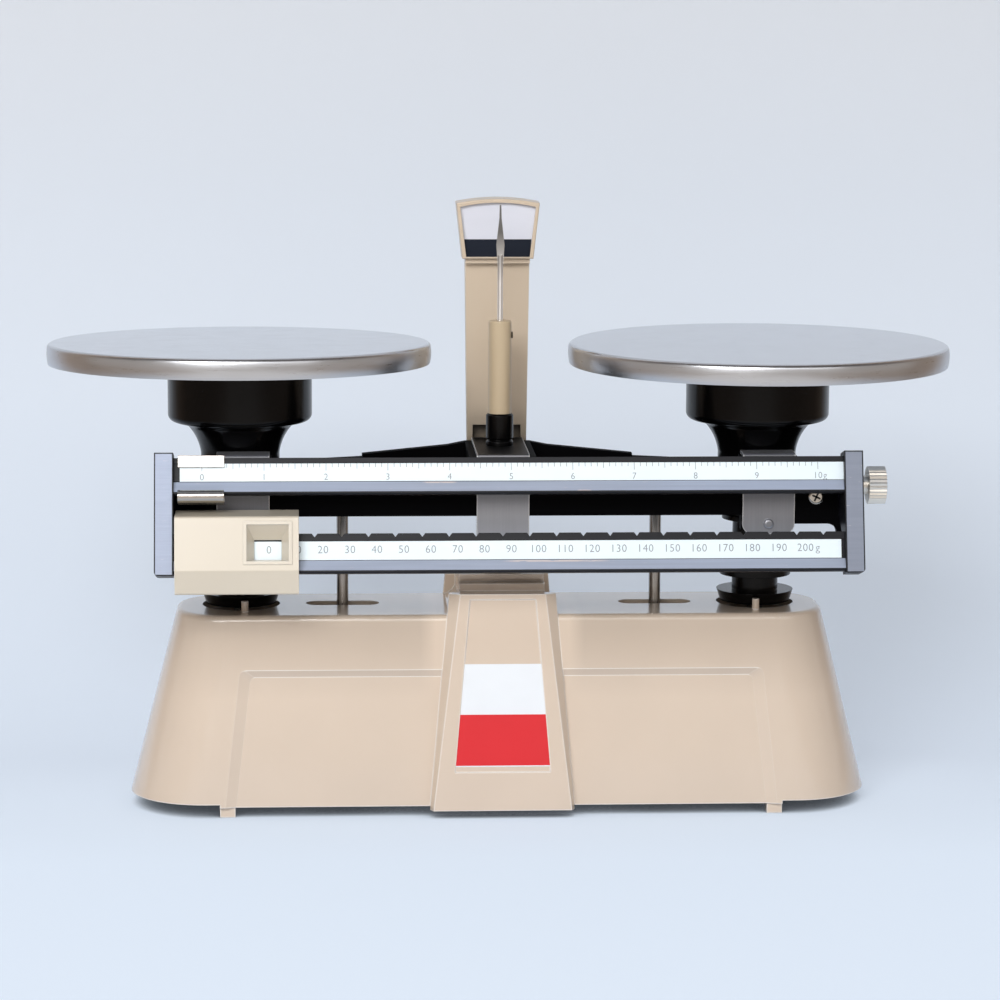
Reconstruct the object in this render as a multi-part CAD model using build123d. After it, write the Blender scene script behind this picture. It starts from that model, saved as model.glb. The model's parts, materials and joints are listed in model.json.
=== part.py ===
from build123d import *
import os
from math import atan2, cos, pi, radians, sin, tan

# Double-beam trip balance. A cast base carries a pillar and a column. The beam rocks on the pillar by a
# knife edge, and holds two graduated bars with sliding riders, a pointer and a zero knob. Two pan carriers
# hang on knife edges at the ends of the beam, and a check lever inside the base keeps them upright.
# Millimetres, +Z up, +X to the right seen from the front, the viewer at -Y. The origin is on the table,
# midway between the two pans.

# Clearances
FACE_GAP = 0.3  # between faces that move past each other
PIN_GAP = 0.05  # radial, a pin or screw that turns in its bore
EDGE_GAP = 0.3  # a knife edge and its bearing

# Knife edges
ARM = 102.0  # fulcrum to each end knife edge
KNIFE_Z = 130.0  # height of the three edges
KNIFE_HALF = 2.6
KNIFE_SLOPE = 4.5  # height of the ground wedge
KNIFE_HEIGHT = 6.5
BEARING_RISE = 2.4  # depth of a bearing's vee
BEARING_VEE_HALF = 4.2

# Base casting
FOOT_HEIGHT = 4.0
END_RAISE = 1.3  # the edge of the base at its ends, above that of the panels
BASE_TOP = 79.0
BASE_Y = -2.5
LOW_LENGTH = 292.6
LOW_DEPTH = 62.0
LOW_CORNER = 30.5
TOP_LENGTH = 254.0
TOP_DEPTH = 50.0
TOP_CORNER = 20.0
TOP_ROUND = 2.5
WALL = 3.5
TOP_WALL = 4.0
FOOT_X = 107.2
FOOT_LENGTH = 6.0
FOOT_DEPTH = 6.0
FOOT_ROOT = 5.0

# Recessed panels and the ridges on the front and the back of the base
PANEL_DEPTH = 1.4
PANEL_SHOULDER = 2.8
PANEL_SIDE_SHOULDER = 4.1
PANEL_CORNER = 2.6
PANEL_TOP = 54.0
PANEL_HALF_LOW = 109.2
PANEL_HALF_TOP = 102.2
RIDGE_TOP = 87.5
RIDGE_DROP = 1.2  # below the edge of the base
RIDGE_RISE = 3.6
REAR_RIDGE_RISE = 6.0
RIDGE_HALF_LOW = 28.3
RIDGE_HALF_TOP = 20.8
RIDGE_BEVEL_LOW = 1.2
RIDGE_BEVEL_TOP = 4.2
POCKET_HALF_LOW = 18.6
POCKET_HALF_TOP = 12.8
POCKET_FOOT = 14.0
POCKET_HEAD = 2.2
POCKET_DEPTH = 0.5

# Saddle and pillar on the base
SADDLE_HALF = 16.7
SADDLE_FLARE = 4.1
SADDLE_FLARE_RISE = 8.4
STEP_RISE = 2.95
STEP_RUN = 5.0
PILLAR_HALF = 8.0
PILLAR_FRONT = -11.0
PILLAR_BACK = 12.0
PILLAR_TOP = 124.0
PILLAR_BRIDGE = 113.0
SEAT_TOP = 138.0

# Stems, rods and the check lever below the beam
STEM_HOLE_R = 15.3
SLOT_LENGTH = 29.0
SLOT_WIDTH = 9.4
ROD_X = 62.0
ROD_R = 2.3
PEG_X = 100.3
PEG_Y = -17.7
PEG_R = 1.4
PEG_HEIGHT = 4.2
LEVER_Z = 22.0
LEVER_HALF_HEIGHT = 4.5
LEVER_HALF_WIDTH = 4.5
LEVER_EYE_R = 5.5
LEVER_PIN_R = 2.0
LUG_HALF = 6.0
LUG_THICKNESS = 4.0
TONGUE_HALF = 1.6
LINK_PIN_R = 1.75
STEM_ROD_R = 3.0
WEIGHT_LOW = 34.0
WEIGHT_HEIGHT = 36.0
LEFT_WEIGHT_R = 10.5
RIGHT_WEIGHT_R = 14.876

# Beam casting
RAIL_LOW = 118.0
RAIL_FRONT = -26.8
FRONT_RAIL = 6.0
FRONT_RAIL_TOP = 138.0
REAR_RAIL_Y = 16.0
REAR_RAIL = 4.5
HUB_HALF = 13.0
HUB_TOP = 141.0
ARM_BREAK_X = 20.0
ARM_BREAK_Z = 139.6
ARM_LOW_X = 54.0
ARM_LOW_Z = 136.2
ARM_STEP = 1.3
REAR_END_Z = 131.0
WEB_LOW = 131.5
WEB = 3.0
WEB_OUT = 84.0
BOSS_R = 5.0
BOSS_LOW = 127.0
BEAM_LEFT = -131.0
BEAM_RIGHT = 136.0
LEFT_END = 10.0
RIGHT_END_IN = 118.0
END_SWELL = 3.6
END_HEEL = 4.4
END_HEEL_X = 126.5
PAD_HALF = 11.0
LUG_LOW = 112.0
BEARING_LUG_HALF = 9.0
BLOCK_SCREW_X = 122.0
BLOCK_SCREW_Z = 125.2
BLOCK_SCREW_HEAD_R = 3.2
BLOCK_SCREW_HEAD = 1.8
BLOCK_SCREW_R = 1.6
BLOCK_SCREW_LENGTH = 4.0

# Sheet brackets
SHEET = 1.2
BRACKET_HALF = 10.2
SIDE_FLANGE = 10.5
BRACKET_SHIFT = 1.5
SIDE_LEG_LOW = 110.6
MIDDLE_LEG_LOW = 100.0
LEG_CORNER = 4.0
BEND = 1.0
RIVET_Z = 114.7
RIVET_HEAD_R = 2.0
RIVET_R = 1.2
RIVET_ROUND = 1.0

# Frame of the two graduated bars, which leans back
FRAME_LEAN = 15.0
FRAME_X = 2.1
FRAME_Y = -45.6
FRAME_Z = 98.7
BAR_LENGTH = 257.7
BAR_BODY = 2.7
STRIP_SEAT = 0.4
STRIP = 0.3
STRIP_LEFT_GAP = 2.4  # between a strip and the left end of its bar
STRIP_RIGHT_GAP = 1.4
LIP_REACH = 4.5
LIP_EDGE = 0.5
LIP_HEIGHT = 5.2
UPPER_FOOT = 30.3
UPPER_HEIGHT = 14.3
UPPER_STRIP = 6.9
LOWER_HEIGHT = 15.4
LOWER_STRIP = 7.2
NOTCHES = 21
NOTCH_PITCH = 10.3
NOTCH_ZERO_X = -83.3
NOTCH_DEPTH = 1.4
NOTCH_HALF = 1.1
CAP_WIDTH = 7.3
CAP_PROUD = 1.0
CAP_BACK = 4.0
CAP_ABOVE = 1.8
CAP_BELOW = 0.8
CAP_ROUND = 1.6
CAP_SCREW_R = 1.5
CAP_SCREW_INSET = 1.8
CAP_SCREW_Z = 130.9
CAP_SCREW_DEPTH = 3.4

# Riders
FINE_WIDTH = 17.6
FINE_X = -116.2
CLIP = 0.69
FINE_ROLL_R = 2.45
FINE_ROLL_BORE = 1.8
FINE_ROLL_DROP = 0.9
FINE_ROLL_REACH = 7.1
FINE_HOOK = 3.9
COARSE_WIDTH = 47.2
COARSE_LEFT = -126.2
COARSE_FACE = 9.0
COARSE_KNEE = 0.6
COARSE_TOP = 21.4
COARSE_SKIRT = 9.6
COARSE_TUCK = 2.0
COARSE_DEPTH = 16.0
COARSE_ROUND = 1.2
DETENT_ROOM = 2.6
COARSE_SHELL = 2.0
COARSE_ROOF = 3.19
WINDOW_X = 35.4
WINDOW_WIDTH = 9.8
WINDOW_LOW = 5.5
WINDOW_HEIGHT = 6.8
WINDOW_SPLAY = 3.1
WINDOW_SPLAY_TOP = 6.0
WINDOW_SPLAY_LOW = 1.2
WINDOW_BORDER = 1.3
WINDOW_PROUD = 0.5
DETENT_LENGTH = 18.0
DETENT_WIDTH = 2.4
DETENT_STRIP = 0.5

# Pointer
POINTER_BOSS_R = 5.4
POINTER_BOSS_HEIGHT = 12.5
BOSS_GROOVE = 0.7
STUD_R = 2.0
STUD_DEPTH = 3.6
POINTER_WEIGHT_R = 4.5
POINTER_WEIGHT_LENGTH = 36.6
NEEDLE_R = 1.05
NEEDLE_DEPTH = 6.7
NEEDLE_BARE = 21.7
BLADE_TAPER = 8.0
BLADE_POINT = 15.6
BLADE_FINE = 5.2
BLADE_HALF = 1.6
BLADE_FINE_HALF = 0.42
BLADE_TIP_HALF = 0.3
BLADE = 0.8
SET_SCREW_DROP = 5.7
SET_SCREW_R = 0.7
SET_SCREW_TIP = 0.4
SET_SCREW_HEAD_R = 1.3
SET_SCREW_HEAD = 0.8
SET_SCREW_PROUD = 0.5

# Column and scale housing
COLUMN_FRONT = 22.5
COLUMN_WALL = 2.0
COLUMN_DEPTH = 8.0
COLUMN_LOW = 118.0
COLUMN_WEB_LOW = 147.0
COLUMN_HALF_LOW = 11.6
COLUMN_HALF_TOP = 12.8
COLUMN_TOP = 214.0
COLUMN_SCREW_R = 1.5
COLUMN_SCREW_HEAD_R = 2.8
COLUMN_SCREW_HEAD = 1.6
HOUSING_FRONT = 17.0
HOUSING_HALF_LOW = 14.1
HOUSING_HALF_TOP = 16.5
HOUSING_SIDE = 22.0
HOUSING_ARCH = 1.7
HOUSING_NECK = 2.0
HOUSING_NECK_FRONT = 19.2
HOUSING_WALL = 1.5
HOUSING_ROUND = 0.5
HOUSING_FLOOR = 0.7
HOUSING_POCKET = 2.5
PLATE = 0.6

# Zero adjuster
ZERO_Y = -12.0
ZERO_Z = 127.3
ZERO_SCREW_R = 2.5
ZERO_POCKET = 10.0
ZERO_WALL = 3.0
ZERO_NUT = 6.0
ZERO_NUT_SIDE = 12.0
ZERO_COLLAR_R = 4.6
ZERO_NECK_R = 3.6
ZERO_NECK = 2.0
KNOB_IN = 142.4
KNOB_OUT = 151.3
KNOB_R = 7.4
KNOB_TEETH = 30
KNOB_TOOTH = 0.45

# Pan carriers and pans
CUP_R = 28.2
CUP_WALL = 3.5
CUP_LOW = 152.2
CUP_FLOOR = 158.0
CUP_ROUND = 2.8
CUP_DISH = 1.4
FLARE_R = 20.8
FLARE_BEND_R = 17.3
FLARE_BEND_Z = 145.8
NECK_R = 15.4
NECK_Z = 139.6
NECK_LOW = 136.6
STEM_R = 12.5
STEM_LOW = 114.5
STEM_WINDOW_HALF = 6.0
STEM_WINDOW_LOW = 118.6
STEM_WINDOW_TOP = 136.0
BEARING_HALF_LENGTH = 9.0
SPOOL_TOP_R = 13.4
SPOOL_TOP_LOW = 112.6
SPOOL_TOP_CONE = 1.2
SPOOL_NECK_R = 9.1
SPOOL_MIDDLE_R = 14.1
SPOOL_MIDDLE_LOW = 90.4
SPOOL_MIDDLE = 3.4
SPOOL_FOOT_R = 15.2
SPOOL_FOOT_LOW_R = 13.8
SPOOL_FOOT_TOP = 84.2
SPOOL_FOOT_LOW = 79.8
PAN_R = 75.0
PAN_TOP = 182.3
PAN_SHEET = 1.2
PAN_RIM = 8.0
PAN_ROUND = 1.4
RING_R = 23.6
RING_WALL = 2.0
RING_HEIGHT = 9.0
LEFT_PAN_TILT = 1.45  # the left pan lies loose, with its front edge lifted

# Values worked out from the sizes above
BASE_LEAN = atan2((LOW_DEPTH - TOP_DEPTH) / 2, BASE_TOP - FOOT_HEIGHT)
BASE_FRONT = BASE_Y - LOW_DEPTH / 2
BASE_REAR = BASE_Y + LOW_DEPTH / 2
FRONT_FACE = Plane(
    origin=(0, BASE_FRONT, FOOT_HEIGHT), x_dir=(1, 0, 0), z_dir=(0, -cos(BASE_LEAN), sin(BASE_LEAN))
)
REAR_FACE = Plane(
    origin=(0, BASE_REAR, FOOT_HEIGHT), x_dir=(-1, 0, 0), z_dir=(0, cos(BASE_LEAN), sin(BASE_LEAN))
)
RIDGE_LENGTH = (RIDGE_TOP - FOOT_HEIGHT) / cos(BASE_LEAN)
STEP_TOP = RIDGE_TOP + 2 * STEP_RISE
FRONT_RAIL_BACK = RAIL_FRONT + FRONT_RAIL
REAR_RAIL_BACK = REAR_RAIL_Y + REAR_RAIL
BRACKET_FRONT = RAIL_FRONT - SHEET
BRACKET_TOP = HUB_TOP + SHEET
POINTER_BOSS_TOP = BRACKET_TOP + POINTER_BOSS_HEIGHT
POINTER_WEIGHT_TOP = POINTER_BOSS_TOP + POINTER_WEIGHT_LENGTH
NEEDLE_SEAT = POINTER_BOSS_TOP - NEEDLE_DEPTH
BLADE_FOOT = POINTER_WEIGHT_TOP + NEEDLE_BARE
BLADE_WIDE_Z = BLADE_FOOT + BLADE_TAPER
BLADE_TIP = BLADE_WIDE_Z + BLADE_POINT
SET_SCREW_Z = POINTER_WEIGHT_TOP - SET_SCREW_DROP
HOUSING_SHOULDER = COLUMN_TOP + HOUSING_SIDE
HOUSING_CROWN = HOUSING_SHOULDER + HOUSING_ARCH
COLUMN_SEAT_FRONT = COLUMN_FRONT + COLUMN_WALL
COLUMN_BACK = COLUMN_FRONT + COLUMN_DEPTH
LEAN = radians(FRAME_LEAN)
FRAME_LEFT = FRAME_X - BAR_LENGTH / 2
FRAME_RIGHT = FRAME_X + BAR_LENGTH / 2
LIP_SLOPE = 2 * LIP_EDGE
PAN_UNDER = PAN_TOP - PAN_SHEET
FLARE_TOP = CUP_LOW - CUP_DISH
LEVER_LUG_IN = LEVER_HALF_WIDTH + FACE_GAP


def span(low_high):
    """The middle and the length of a pair of limits."""
    low, high = low_high
    return (low + high) / 2, high - low


def block(x, y, z):
    """A box between two limits on each axis."""
    (mid_x, size_x), (mid_y, size_y), (mid_z, size_z) = span(x), span(y), span(z)
    return Pos(mid_x, mid_y, mid_z) * Box(size_x, size_y, size_z)


def upright(x, y, z, radius):
    """A cylinder along Z between two heights."""
    middle, height = span(z)
    return Pos(x, y, middle) * Cylinder(radius, height)


def across(x, y, z, radius):
    """A cylinder along X between two limits."""
    middle, length = span(x)
    return Pos(middle, y, z) * Rot(0, 90, 0) * Cylinder(radius, length)


def through(x, y, z, radius):
    """A cylinder along Y between two limits."""
    middle, length = span(y)
    return Pos(x, middle, z) * Rot(90, 0, 0) * Cylinder(radius, length)


def side_prism(points, x):
    """A (Y, Z) outline extruded between two X limits."""
    return extrude(Plane.YZ.offset(x[0]) * Polygon(*points, align=None), x[1] - x[0], dir=(1, 0, 0))


def front_slab(outline, y):
    """A face drawn in (X, Z) extruded between two Y limits."""
    return extrude(Plane.XZ.offset(-y[0]) * outline, y[1] - y[0], dir=(0, 1, 0))


def front_prism(points, y):
    """An (X, Z) outline of straight lines extruded between two Y limits."""
    return front_slab(Polygon(*points, align=None), y)


def turned(profile):
    """A closed (radius, Z) outline turned about the Z axis."""
    return revolve(Plane.XZ * make_face(profile), Axis.Z)


def frame_point(reach, height):
    """(Y, Z) of a point of the leaning frame: reach out of its back plane, height up its slope."""
    y = FRAME_Y - reach * cos(LEAN) + height * sin(LEAN)
    z = FRAME_Z + reach * sin(LEAN) + height * cos(LEAN)
    return y, z


def frame_prism(outline, x):
    """A (reach, height) outline of the leaning frame extruded between two X limits."""
    return side_prism([frame_point(reach, height) for reach, height in outline], x)


def mirrored(points):
    """An outline's right half, given from its foot to its crown, completed on the left."""
    return points + [(-x, z) for x, z in reversed(points) if x]


def panel_outline(side_inset, top_inset):
    """The recessed panel on a face of the base, open at the bottom."""
    half = [
        (PANEL_HALF_LOW - side_inset, -2 * FOOT_ROOT),
        (PANEL_HALF_TOP - side_inset, PANEL_TOP - top_inset),
    ]
    outline = Polygon(*mirrored(half), align=None)
    return fillet(outline.vertices().group_by(Axis.Y)[-1], PANEL_CORNER)


def ridge_outline(low_inset, top_inset):
    """The ridge that climbs a face of the base, narrower at its top."""
    half = [(RIDGE_HALF_LOW - low_inset, -RIDGE_DROP), (RIDGE_HALF_TOP - top_inset, RIDGE_LENGTH)]
    return Polygon(*mirrored(half), align=None)


def ridge(face, rise):
    """A ridge with bevelled sides, standing on a face of the base and rooted in its wall."""
    foot = face * ridge_outline(0, 0)
    top = face.offset(rise) * ridge_outline(RIDGE_BEVEL_LOW, RIDGE_BEVEL_TOP)
    return loft([foot, top]) + extrude(foot, -WALL)


def base_shell():
    """The hollow drafted body of the base, with a recessed panel on its front and its back."""
    low = Pos(0, BASE_Y, FOOT_HEIGHT)
    outer = loft([
        low * RectangleRounded(LOW_LENGTH, LOW_DEPTH, LOW_CORNER),
        Pos(0, BASE_Y, BASE_TOP) * RectangleRounded(TOP_LENGTH, TOP_DEPTH, TOP_CORNER),
    ])
    outer = fillet(outer.faces().sort_by(Axis.Z)[-1].edges(), TOP_ROUND)
    for face in (FRONT_FACE, REAR_FACE):
        panel_floor = face.offset(-PANEL_DEPTH) * panel_outline(PANEL_SIDE_SHOULDER, PANEL_SHOULDER)
        outer -= loft([face * panel_outline(0, 0), panel_floor])
    inner = loft([
        low * RectangleRounded(LOW_LENGTH - 2 * WALL, LOW_DEPTH - 2 * WALL, LOW_CORNER - WALL),
        Pos(0, BASE_Y, BASE_TOP - TOP_WALL)
        * RectangleRounded(TOP_LENGTH - 2 * WALL, TOP_DEPTH - 2 * WALL, TOP_CORNER - WALL),
    ])
    return outer - inner


def saddle():
    """The stepped saddle between the ridges, the pillar on it and the seat of the column."""
    root = BASE_TOP - TOP_WALL
    front = BASE_FRONT + (RIDGE_TOP - FOOT_HEIGHT) * tan(BASE_LEAN)
    rear = BASE_REAR - (RIDGE_TOP - FOOT_HEIGHT) * tan(BASE_LEAN) + REAR_RIDGE_RISE
    steps = [
        (front, root),
        (front, RIDGE_TOP),
        (front + STEP_RUN, RIDGE_TOP),
        (front + STEP_RUN, RIDGE_TOP + STEP_RISE),
        (front + 2 * STEP_RUN, RIDGE_TOP + STEP_RISE),
        (front + 2 * STEP_RUN, STEP_TOP),
        (rear, STEP_TOP),
        (rear, root),
    ]
    fork = [
        (PILLAR_FRONT, root),
        (PILLAR_FRONT, PILLAR_TOP),
        (PILLAR_BACK, PILLAR_TOP),
        (PILLAR_BACK, PILLAR_BRIDGE),
        (COLUMN_SEAT_FRONT, PILLAR_BRIDGE),
        (COLUMN_SEAT_FRONT, COLUMN_LOW),
        (rear, COLUMN_LOW),
        (rear, root),
    ]
    seat_half = COLUMN_HALF_LOW - COLUMN_WALL
    body = side_prism(steps, (-SADDLE_HALF, SADDLE_HALF)) + side_prism(fork, (-PILLAR_HALF, PILLAR_HALF))
    body += front_slab(saddle_flare(root), (front, rear))
    return body + block((-seat_half, seat_half), (COLUMN_SEAT_FRONT, rear), (COLUMN_LOW, SEAT_TOP))


def saddle_flare(root):
    """The foot of the saddle, which spreads to both sides in a hollow curve."""
    foot = SADDLE_HALF + SADDLE_FLARE
    bend = (SADDLE_HALF + SADDLE_FLARE / 4, BASE_TOP + SADDLE_FLARE_RISE / 4)
    crown = BASE_TOP + SADDLE_FLARE_RISE
    return make_face([
        Polyline((-foot, BASE_TOP), (-foot, root), (foot, root), (foot, BASE_TOP)),
        ThreePointArc((foot, BASE_TOP), bend, (SADDLE_HALF, crown)),
        Line((SADDLE_HALF, crown), (-SADDLE_HALF, crown)),
        ThreePointArc((-SADDLE_HALF, crown), (-bend[0], bend[1]), (-foot, BASE_TOP)),
    ])


def base_casting():
    """The whole casting: shell, ridges, saddle, feet, pegs, lever lugs, and its holes."""
    body = base_shell() + ridge(FRONT_FACE, RIDGE_RISE) + ridge(REAR_FACE, REAR_RIDGE_RISE) + saddle()
    pocket = [(POCKET_HALF_LOW, POCKET_FOOT), (POCKET_HALF_TOP, RIDGE_LENGTH - POCKET_HEAD)]
    body -= extrude(FRONT_FACE.offset(RIDGE_RISE) * Polygon(*mirrored(pocket), align=None), -POCKET_DEPTH)
    lug_z = (LEVER_Z - LEVER_HALF_HEIGHT, BASE_TOP - TOP_WALL / 2)
    for side in (-1, 1):
        foot_x = (side * FOOT_X - FOOT_LENGTH / 2, side * FOOT_X + FOOT_LENGTH / 2)
        foot_z = (0, FOOT_HEIGHT + FOOT_ROOT)
        inset = PANEL_DEPTH + FOOT_ROOT * tan(BASE_LEAN)
        body += block(foot_x, (BASE_FRONT + inset, BASE_FRONT + inset + FOOT_DEPTH), foot_z)
        body += block(foot_x, (BASE_REAR - inset - FOOT_DEPTH, BASE_REAR - inset), foot_z)
        end_x = sorted((side * (FOOT_X + FOOT_LENGTH / 2), side * LOW_LENGTH))
        body -= block(end_x, (BASE_FRONT, BASE_REAR), (0, FOOT_HEIGHT + END_RAISE))
        body += upright(side * PEG_X, PEG_Y, (BASE_TOP - TOP_WALL, BASE_TOP + PEG_HEIGHT), PEG_R)
        lug_y = sorted((side * LEVER_LUG_IN, side * (LEVER_LUG_IN + LUG_THICKNESS)))
        body += block((-LUG_HALF, LUG_HALF), lug_y, lug_z)
        hole_z = (BASE_TOP - 2 * TOP_WALL, BASE_TOP + TOP_WALL)
        body -= upright(side * ARM, 0, hole_z, STEM_HOLE_R)
        slot = Pos(side * ROD_X, 0, hole_z[0]) * SlotOverall(SLOT_LENGTH, SLOT_WIDTH)
        body -= extrude(slot, hole_z[1] - hole_z[0])
    return body - check_pivot_pin() - column_screws()


def fulcrum_bearing():
    """Hard block on the pillar, with the vee that the centre knife edge rocks in."""
    half = KNIFE_HALF + BEARING_VEE_HALF
    apex = KNIFE_Z - EDGE_GAP
    outline = [
        (half, PILLAR_TOP),
        (half, apex + BEARING_RISE),
        (BEARING_VEE_HALF, apex + BEARING_RISE),
        (0, apex),
    ]
    return front_prism(mirrored(outline), (PILLAR_FRONT, PILLAR_BACK))


def knife(x, edge_down):
    """A knife edge bar that crosses the beam from its front rail into its rear rail."""
    rise = 1 if edge_down else -1
    outline = [
        (x, KNIFE_Z),
        (x + KNIFE_HALF, KNIFE_Z + rise * KNIFE_SLOPE),
        (x + KNIFE_HALF, KNIFE_Z + rise * KNIFE_HEIGHT),
        (x - KNIFE_HALF, KNIFE_Z + rise * KNIFE_HEIGHT),
        (x - KNIFE_HALF, KNIFE_Z + rise * KNIFE_SLOPE),
    ]
    return front_prism(outline, (RAIL_FRONT, REAR_RAIL_Y + REAR_RAIL / 2))


def rear_rail():
    """The rear rail, highest at the hub and falling towards both ends."""
    left, right = BEAM_LEFT, BEAM_RIGHT
    outline = [
        (left, RAIL_LOW),
        (right, RAIL_LOW),
        (right, REAR_END_Z),
        (ARM_LOW_X, ARM_LOW_Z - ARM_STEP),
        (ARM_LOW_X, ARM_LOW_Z),
        (ARM_BREAK_X, ARM_BREAK_Z),
        (HUB_HALF, HUB_TOP),
        (-HUB_HALF, HUB_TOP),
        (-ARM_BREAK_X, ARM_BREAK_Z),
        (-ARM_LOW_X, ARM_LOW_Z),
        (-ARM_LOW_X, ARM_LOW_Z - ARM_STEP),
        (left, REAR_END_Z),
    ]
    return front_prism(outline, (REAR_RAIL_Y, REAR_RAIL_BACK))


def front_rail():
    """The front rail with its bracket pads, bearing lugs and the deeper right end with its heel."""
    rail_y = (RAIL_FRONT, FRONT_RAIL_BACK)
    rail = block((BEAM_LEFT, BEAM_RIGHT), rail_y, (RAIL_LOW, FRONT_RAIL_TOP))
    for side in (-1, 1):
        pad_x = (bracket_x(side) - PAD_HALF, bracket_x(side) + PAD_HALF)
        lug_x = (side * ARM - BEARING_LUG_HALF, side * ARM + BEARING_LUG_HALF)
        pad_y = (RAIL_FRONT, BRACKET_FRONT + SIDE_FLANGE)
        rail += block(pad_x, pad_y, (FRONT_RAIL_TOP - WEB, HUB_TOP))
        rail += block(lug_x, rail_y, (LUG_LOW, RAIL_LOW))
    swell_left = ARM + BEARING_LUG_HALF
    swell_z = RAIL_LOW - END_SWELL
    heel_z = swell_z - END_HEEL
    heel_bend = (END_HEEL_X + END_HEEL * sin(radians(45)), swell_z - END_HEEL * (1 - sin(radians(45))))
    heel = (END_HEEL_X + END_HEEL, heel_z)
    swell = make_face([
        Polyline((END_HEEL_X, swell_z), (swell_left, swell_z), (swell_left, RAIL_LOW)),
        Polyline((swell_left, RAIL_LOW), (BEAM_RIGHT, RAIL_LOW), (BEAM_RIGHT, heel_z), heel),
        ThreePointArc(heel, heel_bend, (END_HEEL_X, swell_z)),
    ])
    return rail + front_slab(swell, rail_y)


def beam_casting():
    """Two rails joined by the hub, the web of each arm and the end blocks."""
    inside = (FRONT_RAIL_BACK, REAR_RAIL_Y)
    whole = (RAIL_FRONT, REAR_RAIL_BACK)
    body = front_rail() + rear_rail()
    body += block((-HUB_HALF, HUB_HALF), whole, (KNIFE_Z + KNIFE_HEIGHT, HUB_TOP))
    for side in (-1, 1):
        web_x = sorted((side * HUB_HALF, side * WEB_OUT))
        body += block(web_x, inside, (WEB_LOW, WEB_LOW + WEB))
        body += upright(side * ROD_X, 0, (BOSS_LOW, WEB_LOW + WEB), BOSS_R)
    body += block((BEAM_LEFT, BEAM_LEFT + LEFT_END), inside, (RAIL_LOW, REAR_END_Z))
    body += block((RIGHT_END_IN, BEAM_RIGHT), inside, (RAIL_LOW, REAR_END_Z + WEB))
    pocket_x = (RIGHT_END_IN + ZERO_WALL, RIGHT_END_IN + ZERO_WALL + ZERO_POCKET)
    pocket_half = ZERO_NUT_SIDE / 2 + FACE_GAP
    body -= block(pocket_x, (ZERO_Y - pocket_half, ZERO_Y + pocket_half), (RAIL_LOW, ZERO_Z + pocket_half))
    body -= across((RIGHT_END_IN, BEAM_RIGHT), ZERO_Y, ZERO_Z, ZERO_SCREW_R + PIN_GAP)
    for side in (-1, 1):
        body -= knife(side * ARM, False)
        body -= hanger_rod(side)
    fasteners = [pointer_boss(), bracket_rivets(), end_cap_screws(), end_block_screw()]
    return body - knife(0, True) - fasteners


def sheet_bracket(x, flange_back, leg_low, corner):
    """An angle of bright sheet: a flange on the beam's top and a leg down its front."""
    outline = [
        (BRACKET_FRONT, leg_low),
        (BRACKET_FRONT, BRACKET_TOP),
        (flange_back, BRACKET_TOP),
        (flange_back, HUB_TOP),
        (RAIL_FRONT, HUB_TOP),
        (RAIL_FRONT, leg_low),
    ]
    body = side_prism(outline, (x - BRACKET_HALF, x + BRACKET_HALF))
    along = body.edges().filter_by(Axis.X)
    bend = along.group_by(Axis.Z)[-1].sort_by(Axis.Y)[0]
    body = fillet(bend, BEND)
    corners = body.edges().filter_by(Axis.Y).group_by(Axis.Z)[0]
    return fillet(corners, corner)


def bridge_bracket():
    """The middle bracket, whose flange bridges the hub under the pointer."""
    return sheet_bracket(0, REAR_RAIL_BACK, MIDDLE_LEG_LOW, LEG_CORNER) - pointer_boss()


def bracket_x(side):
    """Middle of a side bracket, a little to the right of the end knife edge under it."""
    return side * ARM + BRACKET_SHIFT


def side_bracket(side):
    """The bracket that closes the seat of an end knife edge."""
    body = sheet_bracket(bracket_x(side), BRACKET_FRONT + SIDE_FLANGE, SIDE_LEG_LOW, LEG_CORNER)
    return body - bracket_rivets()


def end_block_screw():
    """The round-headed screw in the front of the beam's right end."""
    head_y = (RAIL_FRONT - BLOCK_SCREW_HEAD, RAIL_FRONT)
    head = through(BLOCK_SCREW_X, head_y, BLOCK_SCREW_Z, BLOCK_SCREW_HEAD_R)
    rim = head.edges().filter_by(GeomType.CIRCLE).sort_by(Axis.Y)[0]
    shank_y = (RAIL_FRONT, RAIL_FRONT + BLOCK_SCREW_LENGTH)
    shank = through(BLOCK_SCREW_X, shank_y, BLOCK_SCREW_Z, BLOCK_SCREW_R)
    return fillet(rim, BLOCK_SCREW_HEAD * 2 / 3) + shank


def bracket_rivets():
    """One rivet at the foot of each side bracket."""
    group = []
    for side in (-1, 1):
        shank = through(bracket_x(side), (BRACKET_FRONT, FRONT_RAIL_BACK), RIVET_Z, RIVET_R)
        head = through(bracket_x(side), (BRACKET_FRONT - SHEET, BRACKET_FRONT), RIVET_Z, RIVET_HEAD_R)
        rim = head.edges().filter_by(GeomType.CIRCLE).sort_by(Axis.Y)[0]
        group.append(shank + fillet(rim, RIVET_ROUND))
    return Compound(children=group)


def bar_outline(foot, height, strip):
    """Section of a graduated bar: a back, a sloping lip at its foot and a seat for the strip."""
    seat = BAR_BODY - STRIP_SEAT
    strip_top = foot + LIP_HEIGHT + strip
    return [
        (0, foot),
        (LIP_REACH - LIP_EDGE, foot),
        (LIP_REACH, foot + LIP_EDGE),
        (LIP_REACH, foot + LIP_SLOPE),
        (BAR_BODY, foot + LIP_HEIGHT),
        (seat, foot + LIP_HEIGHT),
        (seat, strip_top),
        (BAR_BODY, strip_top),
        (BAR_BODY, foot + height),
        (0, foot + height),
    ]


def upper_bar():
    """The plain bar of the fine scale."""
    return frame_prism(bar_outline(UPPER_FOOT, UPPER_HEIGHT, UPPER_STRIP), (FRAME_LEFT, FRAME_RIGHT))


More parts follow.
